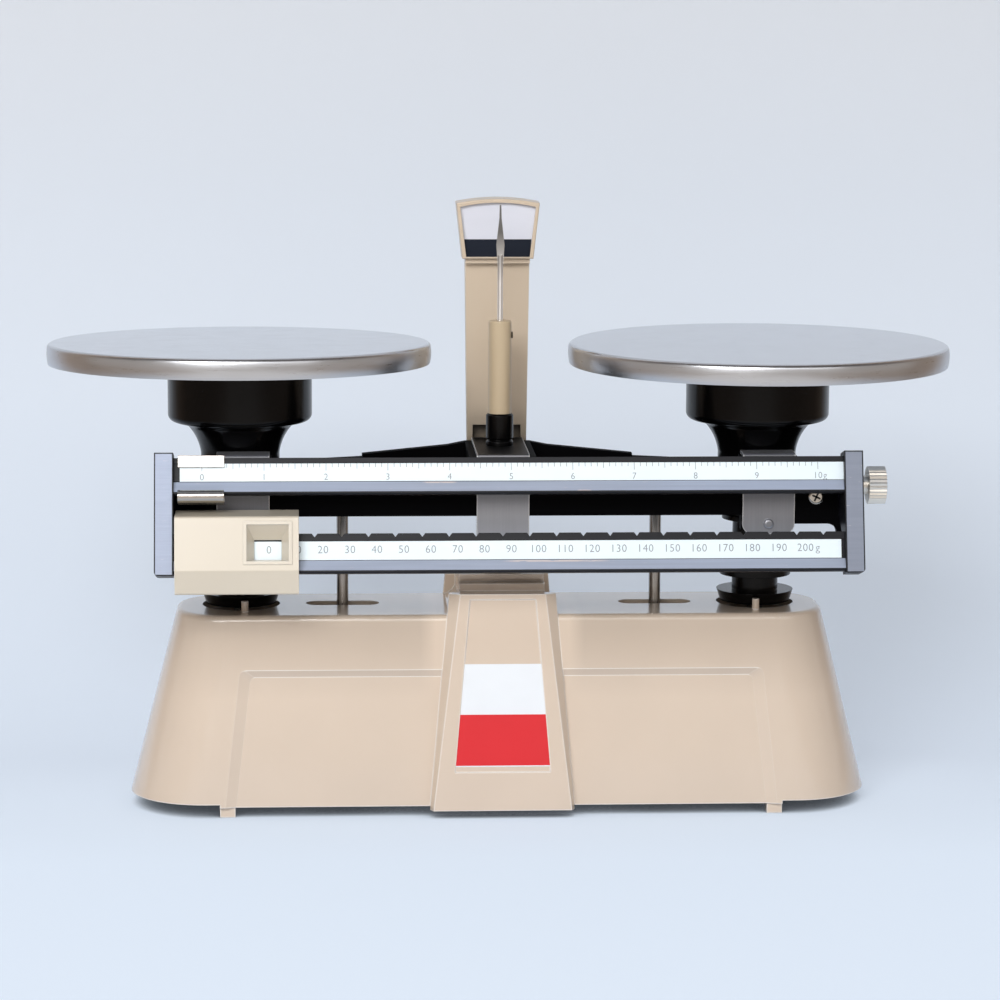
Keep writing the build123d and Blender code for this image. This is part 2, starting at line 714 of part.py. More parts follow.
def lower_bar():
    """The bar of the coarse scale, with a vee notch in its top edge for each step of the rider."""
    body = frame_prism(bar_outline(0, LOWER_HEIGHT, LOWER_STRIP), (FRAME_LEFT, FRAME_RIGHT))
    face = Plane(
        origin=(0, FRAME_Y, FRAME_Z), x_dir=(1, 0, 0), z_dir=(0, -cos(LEAN), sin(LEAN))
    )
    root = LOWER_HEIGHT - NOTCH_DEPTH
    vee = Polygon((0, root), (NOTCH_HALF, LOWER_HEIGHT), (-NOTCH_HALF, LOWER_HEIGHT), align=None)
    cutters = [
        extrude(face * Pos(NOTCH_ZERO_X + step * NOTCH_PITCH, 0, 0) * vee, BAR_BODY)
        for step in range(NOTCHES)
    ]
    return body - cutters


def scale_strip(foot, strip, right_gap):
    """The white graduated strip that lies in the seat of a bar, short of the bar's ends."""
    seat = BAR_BODY - STRIP_SEAT
    low = foot + LIP_HEIGHT
    outline = [(seat, low), (seat + STRIP, low), (seat + STRIP, low + strip), (seat, low + strip)]
    return frame_prism(outline, (FRAME_LEFT + STRIP_LEFT_GAP, FRAME_RIGHT - right_gap))


def end_cap_x(side):
    """X limits of an end cap, outside the ends of the bars."""
    inner = FRAME_X + side * BAR_LENGTH / 2
    return sorted((inner, inner + side * CAP_WIDTH))


def end_cap(side):
    """An end cap that closes both bars and reaches back to the beam's front rail."""
    top = UPPER_FOOT + UPPER_HEIGHT + CAP_ABOVE
    front = LIP_REACH + CAP_PROUD
    outline = [
        frame_point(front, -CAP_BELOW),
        frame_point(front, top),
        frame_point(-CAP_BACK, top),
        (RAIL_FRONT, FRONT_RAIL_TOP),
        (RAIL_FRONT, RAIL_LOW),
        frame_point(-CAP_BACK, UPPER_FOOT / 2),
        frame_point(-CAP_BACK, -CAP_BELOW),
    ]
    x = end_cap_x(side)
    body = side_prism(outline, x)
    outside = body.faces().sort_by(Axis.X)[-1 if side > 0 else 0]
    front_edge = outside.edges().sort_by(Axis.Y)[0]
    body = fillet(front_edge, CAP_ROUND)
    return body - end_cap_screws()


def end_cap_screws():
    """The headless screw that holds each end cap to the end of the front rail."""
    group = []
    for side in (-1, 1):
        inner = end_cap_x(side)[0 if side > 0 else 1]
        x = inner + side * CAP_SCREW_INSET
        y = (RAIL_FRONT - CAP_SCREW_DEPTH, RAIL_FRONT + CAP_SCREW_DEPTH)
        group.append(through(x, y, CAP_SCREW_Z, CAP_SCREW_R))
    return Compound(children=group)


def fine_rider():
    """The bright clip of the fine bar: a back, a hook over the bar's top and a roll at its foot."""
    back = -FACE_GAP - CLIP
    foot = UPPER_FOOT
    top = foot + UPPER_HEIGHT + FACE_GAP
    low = foot - FINE_ROLL_DROP - FINE_ROLL_R
    hook = BAR_BODY + FACE_GAP
    outline = [
        (back, low),
        (FINE_ROLL_REACH, low),
        (FINE_ROLL_REACH, low + CLIP),
        (-FACE_GAP, low + CLIP),
        (-FACE_GAP, top),
        (hook, top),
        (hook, top - FINE_HOOK),
        (hook + CLIP, top - FINE_HOOK),
        (hook + CLIP, top + CLIP),
        (back, top + CLIP),
    ]
    x = (FINE_X - FINE_WIDTH / 2, FINE_X + FINE_WIDTH / 2)
    body = frame_prism(outline, x)
    ends = body.edges().filter_by(Axis.X).group_by(Axis.Z)[-1]
    body = fillet(ends, CLIP / 2)
    roll_y, roll_z = frame_point(FINE_ROLL_REACH, foot - FINE_ROLL_DROP)
    return body + across(x, roll_y, roll_z, FINE_ROLL_R) - across(x, roll_y, roll_z, FINE_ROLL_BORE)


def coarse_x():
    """X limits of the coarse rider at its zero."""
    return COARSE_LEFT, COARSE_LEFT + COARSE_WIDTH


def coarse_corners():
    """(Y, Z) of the rider's upper front edge, of the knee in its front and of its lower front edge."""
    crown = frame_point(COARSE_FACE, COARSE_TOP)
    knee = frame_point(COARSE_FACE, COARSE_KNEE)
    toe = (knee[0] + COARSE_TUCK, knee[1] - COARSE_SKIRT)
    return crown, knee, toe


def window_rectangle(reach, splay):
    """The rider's window on the frame's plane at a reach, opened out by a share of its splay."""
    low = WINDOW_LOW - splay * WINDOW_SPLAY_LOW
    high = WINDOW_LOW + WINDOW_HEIGHT + splay * WINDOW_SPLAY_TOP
    half = WINDOW_WIDTH / 2 + splay * WINDOW_SPLAY
    y, z = frame_point(reach, (low + high) / 2)
    face = Plane(
        origin=(COARSE_LEFT + WINDOW_X, y, z), x_dir=(1, 0, 0), z_dir=(0, -cos(LEAN), sin(LEAN))
    )
    return face, 2 * half, high - low


def coarse_rider():
    """The cream block of the coarse bar, hollow behind, with a splayed window over the numbers."""
    crown, knee, toe = coarse_corners()
    back = crown[0] + COARSE_DEPTH
    x = coarse_x()
    body = side_prism([crown, knee, toe, (back, toe[1]), (back, crown[1])], x)
    body = fillet(body.edges().filter_by(Axis.X).sort_by(Axis.Y)[:3], COARSE_ROUND)
    channel = [
        (-FACE_GAP, -FACE_GAP),
        (LIP_REACH + FACE_GAP, -FACE_GAP),
        (LIP_REACH + FACE_GAP, LIP_SLOPE + FACE_GAP),
        (BAR_BODY + 2 * FACE_GAP, LIP_HEIGHT + FACE_GAP),
        (BAR_BODY + 2 * FACE_GAP, LOWER_HEIGHT + DETENT_ROOM),
        (-FACE_GAP, LOWER_HEIGHT + DETENT_ROOM),
    ]
    body -= frame_prism(channel, x)
    inner, inner_width, inner_height = window_rectangle(BAR_BODY, 0)
    outer, outer_width, outer_height = window_rectangle(COARSE_FACE, 1)
    body -= loft([inner * Rectangle(inner_width, inner_height), outer * Rectangle(outer_width, outer_height)])
    hollow_x = (x[0] + COARSE_SHELL, x[1] - COARSE_SHELL)
    core_x = (hollow_x[0], COARSE_LEFT + WINDOW_X - outer_width / 2 - COARSE_SHELL)
    core_front = COARSE_FACE - COARSE_SHELL
    core_top = LOWER_HEIGHT + DETENT_ROOM
    core = [(BAR_BODY, core_top), (core_front, core_top), (core_front, -FACE_GAP), (BAR_BODY, -FACE_GAP)]
    return body - side_prism(coarse_hollow(back), hollow_x) - frame_prism(core, core_x)


def coarse_hollow(back):
    """(Y, Z) outline of the rider's hollow, open below, under and behind the channel of the bar."""
    crown, knee, toe = coarse_corners()
    wall_y, wall_z = frame_point(-FACE_GAP - COARSE_SHELL, -FACE_GAP)
    shelf = frame_point(-FACE_GAP, -FACE_GAP)[1] - COARSE_SHELL
    roof = crown[1] - COARSE_ROOF
    return [
        (toe[0] + COARSE_SHELL, toe[1]),
        (toe[0] + COARSE_SHELL, shelf),
        (wall_y + (shelf - wall_z) * tan(LEAN), shelf),
        (wall_y + (roof - wall_z) * tan(LEAN), roof),
        (back - COARSE_SHELL, roof),
        (back - COARSE_SHELL, toe[1]),
    ]


def coarse_window_frame():
    """The thin raised frame round the rider's window."""
    face, width, height = window_rectangle(COARSE_FACE, 1)
    border = Rectangle(width + 2 * WINDOW_BORDER, height + 2 * WINDOW_BORDER) - Rectangle(width, height)
    return extrude(face * border, WINDOW_PROUD)


def coarse_detent():
    """The leaf spring above the notches, with its tooth lifted clear of them."""
    roof = LOWER_HEIGHT + DETENT_ROOM
    strip = [
        (0, roof - DETENT_STRIP),
        (DETENT_WIDTH, roof - DETENT_STRIP),
        (DETENT_WIDTH, roof),
        (0, roof),
    ]
    middle = NOTCH_ZERO_X - DETENT_LENGTH / 2
    leaf = frame_prism(strip, (middle - DETENT_LENGTH / 2, middle + DETENT_LENGTH / 2))
    tooth_reach = DETENT_WIDTH / 2
    tooth_y, tooth_z = frame_point(tooth_reach, LOWER_HEIGHT + FACE_GAP)
    face = Plane(
        origin=(NOTCH_ZERO_X, tooth_y, tooth_z), x_dir=(1, 0, 0), z_dir=(0, -cos(LEAN), sin(LEAN))
    )
    rise = DETENT_ROOM - DETENT_STRIP - FACE_GAP
    tooth = Polygon((0, 0), (0, rise), (-2 * NOTCH_HALF, rise), align=None)
    return leaf + extrude(face * tooth, tooth_reach / 2, both=True)


def pointer_boss():
    """The black foot of the pointer, screwed through the bridge bracket into the hub."""
    outline = Polyline(
        (0, HUB_TOP - STUD_DEPTH),
        (STUD_R, HUB_TOP - STUD_DEPTH),
        (STUD_R, BRACKET_TOP),
        (POINTER_BOSS_R, BRACKET_TOP),
        (POINTER_BOSS_R, BRACKET_TOP + 2 * BOSS_GROOVE),
        (POINTER_BOSS_R - BOSS_GROOVE, BRACKET_TOP + 3 * BOSS_GROOVE),
        (POINTER_BOSS_R, BRACKET_TOP + 4 * BOSS_GROOVE),
        (POINTER_BOSS_R, POINTER_BOSS_TOP - BOSS_GROOVE),
        (POINTER_BOSS_R - BOSS_GROOVE, POINTER_BOSS_TOP),
        (NEEDLE_R, POINTER_BOSS_TOP),
        (NEEDLE_R, NEEDLE_SEAT),
        (0, NEEDLE_SEAT),
        close=True,
    )
    return turned(outline)


def pointer_weight():
    """The painted weight that sets the balance's sensitivity, clamped on the needle."""
    body = upright(0, 0, (POINTER_BOSS_TOP, POINTER_WEIGHT_TOP), POINTER_WEIGHT_R)
    rim = body.edges().filter_by(GeomType.CIRCLE).sort_by(Axis.Z)[-1]
    body = fillet(rim, BOSS_GROOVE)
    return body - upright(0, 0, (POINTER_BOSS_TOP, POINTER_WEIGHT_TOP), NEEDLE_R) - pointer_set_screw()


def pointer_set_screw():
    """The screw that clamps the weight, from its right side, with its tip in a dimple of the needle."""
    head_in = POINTER_WEIGHT_R - SET_SCREW_HEAD
    shank = across((NEEDLE_R - SET_SCREW_TIP, head_in), 0, SET_SCREW_Z, SET_SCREW_R)
    return shank + across((head_in, POINTER_WEIGHT_R + SET_SCREW_PROUD), 0, SET_SCREW_Z, SET_SCREW_HEAD_R)


def pointer_needle():
    """Round rod that ends in a flat blade with a fine tip."""
    blade = [
        (NEEDLE_R, BLADE_FOOT),
        (BLADE_HALF, BLADE_WIDE_Z),
        (BLADE_FINE_HALF, BLADE_TIP - BLADE_FINE),
        (BLADE_TIP_HALF, BLADE_TIP),
    ]
    rod = upright(0, 0, (NEEDLE_SEAT, (BLADE_FOOT + BLADE_WIDE_Z) / 2), NEEDLE_R)
    return rod + front_prism(mirrored(blade), (-BLADE / 2, BLADE / 2)) - pointer_set_screw()


def hanger_rod(side):
    """A steel rod from the beam's web down through the slot in the base."""
    return upright(side * ROD_X, 0, (WEIGHT_LOW, WEB_LOW + WEB), ROD_R)


def hanger_weight(side):
    """The iron weight on a rod. The right one is larger and balances the two riders."""
    radius = RIGHT_WEIGHT_R if side > 0 else LEFT_WEIGHT_R
    body = upright(side * ROD_X, 0, (WEIGHT_LOW, WEIGHT_LOW + WEIGHT_HEIGHT), radius)
    body = chamfer(body.edges().filter_by(GeomType.CIRCLE), BEND)
    return body - hanger_rod(side)


def zero_screw():
    """The screw that carries the balance nut, turned by the knob."""
    nut_end = RIGHT_END_IN + ZERO_WALL / 2
    return across((nut_end, KNOB_IN), ZERO_Y, ZERO_Z, ZERO_SCREW_R)


def zero_knob():
    """Knurled knob with a collar against the end of the beam and a groove between them."""
    points = []
    for tooth in range(KNOB_TEETH):
        for half, radius in ((0, KNOB_R), (0.5, KNOB_R - KNOB_TOOTH)):
            turn = 2 * pi * (tooth + half) / KNOB_TEETH
            points.append((ZERO_Y + radius * cos(turn), ZERO_Z + radius * sin(turn)))
    body = side_prism(points, (KNOB_IN + ZERO_NECK, KNOB_OUT))
    body += across((KNOB_IN, KNOB_IN + ZERO_NECK), ZERO_Y, ZERO_Z, ZERO_NECK_R)
    collar = across((BEAM_RIGHT + FACE_GAP, KNOB_IN), ZERO_Y, ZERO_Z, ZERO_COLLAR_R)
    return body + collar - zero_screw()


def zero_nut():
    """Square balance nut that the screw draws along its pocket."""
    middle = RIGHT_END_IN + ZERO_WALL + ZERO_POCKET / 2
    half = ZERO_NUT_SIDE / 2
    x = (middle - ZERO_NUT / 2, middle + ZERO_NUT / 2)
    body = block(x, (ZERO_Y - half, ZERO_Y + half), (ZERO_Z - half, ZERO_Z + half))
    return body - across(x, ZERO_Y, ZERO_Z, ZERO_SCREW_R + PIN_GAP)


def column():
    """The upright hollow column behind the beam, forked at its foot round its seat."""
    outline = [(COLUMN_HALF_LOW, COLUMN_LOW), (COLUMN_HALF_TOP, COLUMN_TOP)]
    inside = [(x - COLUMN_WALL, z) for x, z in outline]
    body = front_prism(mirrored(outline), (COLUMN_FRONT, COLUMN_BACK))
    body -= front_prism(mirrored(inside), (COLUMN_SEAT_FRONT, COLUMN_BACK - COLUMN_WALL))
    gap = COLUMN_HALF_LOW - COLUMN_WALL
    body -= block((-gap, gap), (COLUMN_FRONT, COLUMN_SEAT_FRONT), (COLUMN_LOW, COLUMN_WEB_LOW))
    return body - column_screws()


def column_screws():
    """A screw through each leg of the column into its seat on the pillar."""
    group = []
    y = COLUMN_SEAT_FRONT + COLUMN_SCREW_R
    z = (COLUMN_LOW + SEAT_TOP) / 2
    for side in (-1, 1):
        head_x = side * (COLUMN_HALF_LOW + COLUMN_SCREW_HEAD)
        face_x = side * (COLUMN_HALF_LOW + COLUMN_SCREW_HEAD / 3)
        tip_x = side * (COLUMN_HALF_LOW - 3 * COLUMN_WALL)
        head = across(sorted((face_x, head_x)), y + COLUMN_SCREW_R, z, COLUMN_SCREW_HEAD_R)
        group.append(head + across(sorted((tip_x, face_x)), y + COLUMN_SCREW_R, z, COLUMN_SCREW_R))
    return Compound(children=group)


def housing_outline(wall, floor):
    """The flared front of the scale housing under an arched top, drawn in by its wall."""
    low, high, crown = COLUMN_TOP + floor, HOUSING_SHOULDER - wall, HOUSING_CROWN - wall
    foot, shoulder = HOUSING_HALF_LOW - wall, HOUSING_HALF_TOP - wall
    return make_face([
        Polyline((-shoulder, high), (-foot, low), (foot, low), (shoulder, high)),
        ThreePointArc((shoulder, high), (0, crown), (-shoulder, high)),
    ])


def scale_housing():
    """The head of the column, with an open pocket for the scale plate."""
    body = front_slab(housing_outline(0, 0), (HOUSING_FRONT, COLUMN_BACK))
    body = fillet(body.faces().sort_by(Axis.Y)[0].edges(), HOUSING_ROUND)
    pocket_y = (HOUSING_FRONT, HOUSING_FRONT + HOUSING_POCKET)
    body -= front_slab(housing_outline(HOUSING_WALL, HOUSING_FLOOR), pocket_y)
    neck_x = (-COLUMN_HALF_TOP, COLUMN_HALF_TOP)
    return body + block(neck_x, (HOUSING_NECK_FRONT, COLUMN_FRONT), (COLUMN_TOP - HOUSING_NECK, COLUMN_TOP))


def scale_plate():
    """The flat plate behind the pointer's tip, at the back of the housing's pocket."""
    back = HOUSING_FRONT + HOUSING_POCKET
    return front_slab(housing_outline(HOUSING_WALL, HOUSING_FLOOR), (back - PLATE, back))


def carrier_cup():
    """The black cup that a pan rests on, its trumpet neck and the stem that straddles the knife edge."""
    outer = [
        Polyline((0, STEM_LOW), (STEM_R, STEM_LOW), (STEM_R, NECK_LOW), (NECK_R, NECK_LOW), (NECK_R, NECK_Z)),
        ThreePointArc((NECK_R, NECK_Z), (FLARE_BEND_R, FLARE_BEND_Z), (FLARE_R, FLARE_TOP)),
        Line((FLARE_R, FLARE_TOP), (CUP_R - CUP_ROUND, CUP_LOW)),
        RadiusArc((CUP_R - CUP_ROUND, CUP_LOW), (CUP_R, CUP_LOW + CUP_ROUND), -CUP_ROUND),
        Polyline(
            (CUP_R, CUP_LOW + CUP_ROUND),
            (CUP_R, PAN_UNDER),
            (CUP_R - CUP_WALL, PAN_UNDER),
            (CUP_R - CUP_WALL, CUP_FLOOR),
            (0, CUP_FLOOR),
            (0, STEM_LOW),
        ),
    ]
    window_z = (STEM_WINDOW_LOW, STEM_WINDOW_TOP)
    body = turned(outer)
    body -= block((-STEM_WINDOW_HALF, STEM_WINDOW_HALF), (-STEM_R, STEM_R), window_z)
    return body - upright(0, 0, (STEM_LOW, STEM_WINDOW_LOW), STEM_ROD_R)


def carrier_bearing():
    """Hard block in the stem's window, with the vee that hangs on the end knife edge."""
    apex = KNIFE_Z + EDGE_GAP
    outline = [
        (STEM_WINDOW_HALF, STEM_WINDOW_TOP),
        (STEM_WINDOW_HALF, apex - BEARING_RISE),
        (BEARING_VEE_HALF, apex - BEARING_RISE),
        (0, apex),
    ]
    return front_prism(mirrored(outline), (-BEARING_HALF_LENGTH, BEARING_HALF_LENGTH))


def stem_spool():
    """The black spool under the beam, whose conical foot dips into the hole in the base."""
    outline = Polyline(
        (STEM_ROD_R, STEM_LOW),
        (SPOOL_TOP_R, STEM_LOW),
        (SPOOL_TOP_R, SPOOL_TOP_LOW),
        (SPOOL_NECK_R, SPOOL_TOP_LOW - SPOOL_TOP_CONE),
        (SPOOL_NECK_R, SPOOL_MIDDLE_LOW + 2 * SPOOL_MIDDLE),
        (SPOOL_MIDDLE_R, SPOOL_MIDDLE_LOW + SPOOL_MIDDLE),
        (SPOOL_MIDDLE_R, SPOOL_MIDDLE_LOW),
        (SPOOL_NECK_R, SPOOL_MIDDLE_LOW),
        (SPOOL_NECK_R, SPOOL_FOOT_TOP),
        (SPOOL_FOOT_R, SPOOL_FOOT_TOP),
        (SPOOL_FOOT_LOW_R, SPOOL_FOOT_LOW),
        (STEM_ROD_R, SPOOL_FOOT_LOW),
        close=True,
    )
    return turned(outline)


def stem_rod():
    """The steel rod of a carrier, flattened at its foot for the check lever's fork."""
    body = upright(0, 0, (LEVER_Z, STEM_WINDOW_LOW), STEM_ROD_R)
    eye = through(0, (-TONGUE_HALF, TONGUE_HALF), LEVER_Z, LEVER_EYE_R)
    flat_top = LEVER_Z + 2 * LEVER_EYE_R
    for side in (-1, 1):
        cheek_y = sorted((side * TONGUE_HALF, side * STEM_ROD_R))
        body -= block((-STEM_ROD_R, STEM_ROD_R), cheek_y, (LEVER_Z, flat_top))
    bore = through(0, (-TONGUE_HALF, TONGUE_HALF), LEVER_Z, LINK_PIN_R + PIN_GAP)
    return body + eye - bore


def check_lever():
    """The forked lever in the base that keeps both carriers upright."""
    width = (-LEVER_HALF_WIDTH, LEVER_HALF_WIDTH)
    height = (LEVER_Z - LEVER_HALF_HEIGHT, LEVER_Z + LEVER_HALF_HEIGHT)
    body = block((-ARM, ARM), width, height) + through(0, width, LEVER_Z, LEVER_EYE_R)
    fork = TONGUE_HALF + FACE_GAP
    for side in (-1, 1):
        body += through(side * ARM, width, LEVER_Z, LEVER_EYE_R)
        fork_x = sorted((side * (ARM - 2 * LEVER_EYE_R), side * (ARM + LEVER_EYE_R)))
        body -= block(fork_x, (-fork, fork), (LEVER_Z - LEVER_EYE_R, LEVER_Z + LEVER_EYE_R))
        body -= link_pin(side)
    return body - through(0, width, LEVER_Z, LEVER_PIN_R + PIN_GAP)


def link_pin(side):
    """The pin of a fork of the check lever."""
    return through(side * ARM, (-LEVER_HALF_WIDTH, LEVER_HALF_WIDTH), LEVER_Z, LINK_PIN_R)


def check_pivot_pin():
    """The pin between the base's lugs that the check lever turns on."""
    reach = LEVER_LUG_IN + LUG_THICKNESS
    return through(0, (-reach, reach), LEVER_Z, LEVER_PIN_R)


def pan():
    """A flat sheet pan with a rolled-down rim."""
    rim_low = PAN_TOP - PAN_RIM
    inner_r = PAN_R - PAN_SHEET
    inner_round = PAN_ROUND - PAN_SHEET
    shoulder = PAN_R - PAN_ROUND
    rise = PAN_ROUND * sin(radians(45))
    inner_rise = inner_round * sin(radians(45))
    centre_z = PAN_TOP - PAN_ROUND
    inner_bend = (shoulder + inner_rise, centre_z + inner_rise)
    outline = [
        Line((0, PAN_TOP), (shoulder, PAN_TOP)),
        ThreePointArc((shoulder, PAN_TOP), (shoulder + rise, centre_z + rise), (PAN_R, centre_z)),
        Polyline((PAN_R, centre_z), (PAN_R, rim_low), (inner_r, rim_low), (inner_r, centre_z)),
        ThreePointArc((inner_r, centre_z), inner_bend, (shoulder, PAN_UNDER)),
        Polyline((shoulder, PAN_UNDER), (0, PAN_UNDER), (0, PAN_TOP)),
    ]
    return turned(outline)


def seated(side, piece):
    """A pan or its ring laid on its cup. The left one tilts about the back of the cup's rim."""
    if side < 0:
        heel = Pos(0, CUP_R, PAN_UNDER)
        piece = heel * Rot(-LEFT_PAN_TILT, 0, 0) * heel.inverse() * piece
    return Pos(side * ARM, 0, 0) * piece


def pan_ring():
    """The ring under a pan that drops into the cup."""
    outer = upright(0, 0, (PAN_UNDER - RING_HEIGHT, PAN_UNDER), RING_R)
    return outer - upright(0, 0, (PAN_UNDER - RING_HEIGHT, PAN_UNDER), RING_R - RING_WALL)


def main():
    """Build every piece and write one file for each."""
    pieces = {
        "base_casting": base_casting(),
        "fulcrum_bearing": fulcrum_bearing(),
        "column": column(),
        "column_screws": column_screws(),
        "scale_housing": scale_housing(),
        "scale_plate": scale_plate(),
        "check_lever": check_lever(),
        "check_pivot_pin": check_pivot_pin(),
        "beam_casting": beam_casting(),
        "centre_knife": knife(0, True),
        "bridge_bracket": bridge_bracket(),
        "bracket_rivets": bracket_rivets(),
        "end_block_screw": end_block_screw(),
        "upper_bar": upper_bar(),
        "lower_bar": lower_bar(),
        "fine_scale_strip": scale_strip(UPPER_FOOT, UPPER_STRIP, 0),
        "coarse_scale_strip": scale_strip(0, LOWER_STRIP, STRIP_RIGHT_GAP),
        "end_cap_screws": end_cap_screws(),
        "fine_rider": fine_rider(),
        "coarse_rider": coarse_rider(),
        "coarse_window_frame": coarse_window_frame(),
        "coarse_detent": coarse_detent(),
        "pointer_boss": pointer_boss(),
        "pointer_weight": pointer_weight(),
        "pointer_set_screw": pointer_set_screw(),
        "pointer_needle": pointer_needle(),
        "zero_screw": zero_screw(),
        "zero_knob": zero_knob(),
        "zero_nut": zero_nut(),
    }
    for name, side in (("left", -1), ("right", 1)):
        place = Pos(side * ARM, 0, 0)
        pieces[f"{name}_end_knife"] = knife(side * ARM, False)
        pieces[f"{name}_bracket"] = side_bracket(side)
        pieces[f"{name}_end_cap"] = end_cap(side)
        pieces[f"{name}_hanger_rod"] = hanger_rod(side)
        pieces[f"{name}_hanger_weight"] = hanger_weight(side)
        pieces[f"{name}_link_pin"] = link_pin(side)
        pieces[f"{name}_cup"] = place * carrier_cup()
        pieces[f"{name}_bearing"] = place * carrier_bearing()
        pieces[f"{name}_spool"] = place * stem_spool()
        pieces[f"{name}_stem_rod"] = place * stem_rod()
        pieces[f"{name}_pan"] = seated(side, pan())
        pieces[f"{name}_pan_ring"] = seated(side, pan_ring())
    os.makedirs("parts", exist_ok=True)
    for name, piece in pieces.items():
        export_step(piece, f"parts/{name}.step")


main()
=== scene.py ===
"""Looks of a double-beam trip balance: finishes, printed scales, label plate, studio and camera.

Sizes are in metres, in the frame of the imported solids: +X to the right, +Y to the back, +Z up.
"""

from __future__ import annotations

import json
import logging
import math
from dataclasses import dataclass
from enum import Enum
from typing import Any, Iterable, Sequence

import bmesh
import bpy
from mathutils import Matrix, Vector

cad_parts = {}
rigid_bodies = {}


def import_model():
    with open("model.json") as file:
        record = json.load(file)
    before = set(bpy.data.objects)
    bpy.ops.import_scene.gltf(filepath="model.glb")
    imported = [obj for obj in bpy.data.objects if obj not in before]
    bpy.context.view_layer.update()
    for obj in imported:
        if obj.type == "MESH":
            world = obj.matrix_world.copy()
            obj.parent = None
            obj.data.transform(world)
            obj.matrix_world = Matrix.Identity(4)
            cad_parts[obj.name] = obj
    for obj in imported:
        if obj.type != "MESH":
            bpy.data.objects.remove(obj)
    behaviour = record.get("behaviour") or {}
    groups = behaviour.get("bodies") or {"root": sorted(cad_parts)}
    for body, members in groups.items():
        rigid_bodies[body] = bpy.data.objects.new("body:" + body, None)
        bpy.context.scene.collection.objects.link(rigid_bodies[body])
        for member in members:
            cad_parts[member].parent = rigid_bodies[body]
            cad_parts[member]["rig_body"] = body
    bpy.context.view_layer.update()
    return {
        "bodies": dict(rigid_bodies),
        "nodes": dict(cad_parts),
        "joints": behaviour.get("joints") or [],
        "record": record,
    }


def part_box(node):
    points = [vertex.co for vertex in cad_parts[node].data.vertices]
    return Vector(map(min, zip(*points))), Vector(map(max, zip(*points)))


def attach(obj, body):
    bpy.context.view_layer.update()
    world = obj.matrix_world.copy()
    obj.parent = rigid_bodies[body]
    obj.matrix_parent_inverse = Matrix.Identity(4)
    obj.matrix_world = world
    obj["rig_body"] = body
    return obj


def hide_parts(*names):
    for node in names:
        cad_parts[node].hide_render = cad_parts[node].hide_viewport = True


LOG = logging.getLogger("balance")
MM = 0.001

Colour = tuple[float, float, float]
Point = tuple[float, float, float]
Span = tuple[float, float]
Frame = dict[str, Any]
Socket = bpy.types.NodeSocket
Tree = bpy.types.NodeTree
Material = bpy.types.Material
Piece = bpy.types.Object
Finishes = dict[str, Material]
BMesh = bmesh.types.BMesh
Corner = bmesh.types.BMVert
WHITE = (1.0, 1.0, 1.0)


class Side(Enum):
    """The two ends of the balance, seen from the front."""

    LEFT = -1
    RIGHT = 1

    @property
    def word(self) -> str:
        """The side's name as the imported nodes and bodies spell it."""
        return self.name.lower()


class Grain(Enum):
    """The direction that brush marks run in, as the stretch of their noise along X, Y and Z."""

    ALONG_X = (0.02, 1.0, 1.0)
    ALONG_Y = (1.0, 0.02, 1.0)
    ALONG_Z = (1.0, 1.0, 0.02)
    ROUND = (0.06, 0.06, 1.0)


def linear(red: int, green: int, blue: int) -> Colour:
    """Turn a screen colour from 0 to 255 into the linear colour that shaders take."""
    shares = (red / 255, green / 255, blue / 255)
    return tuple(c / 12.92 if c <= 0.04 else ((c + 0.055) / 1.055) ** 2.4 for c in shares)


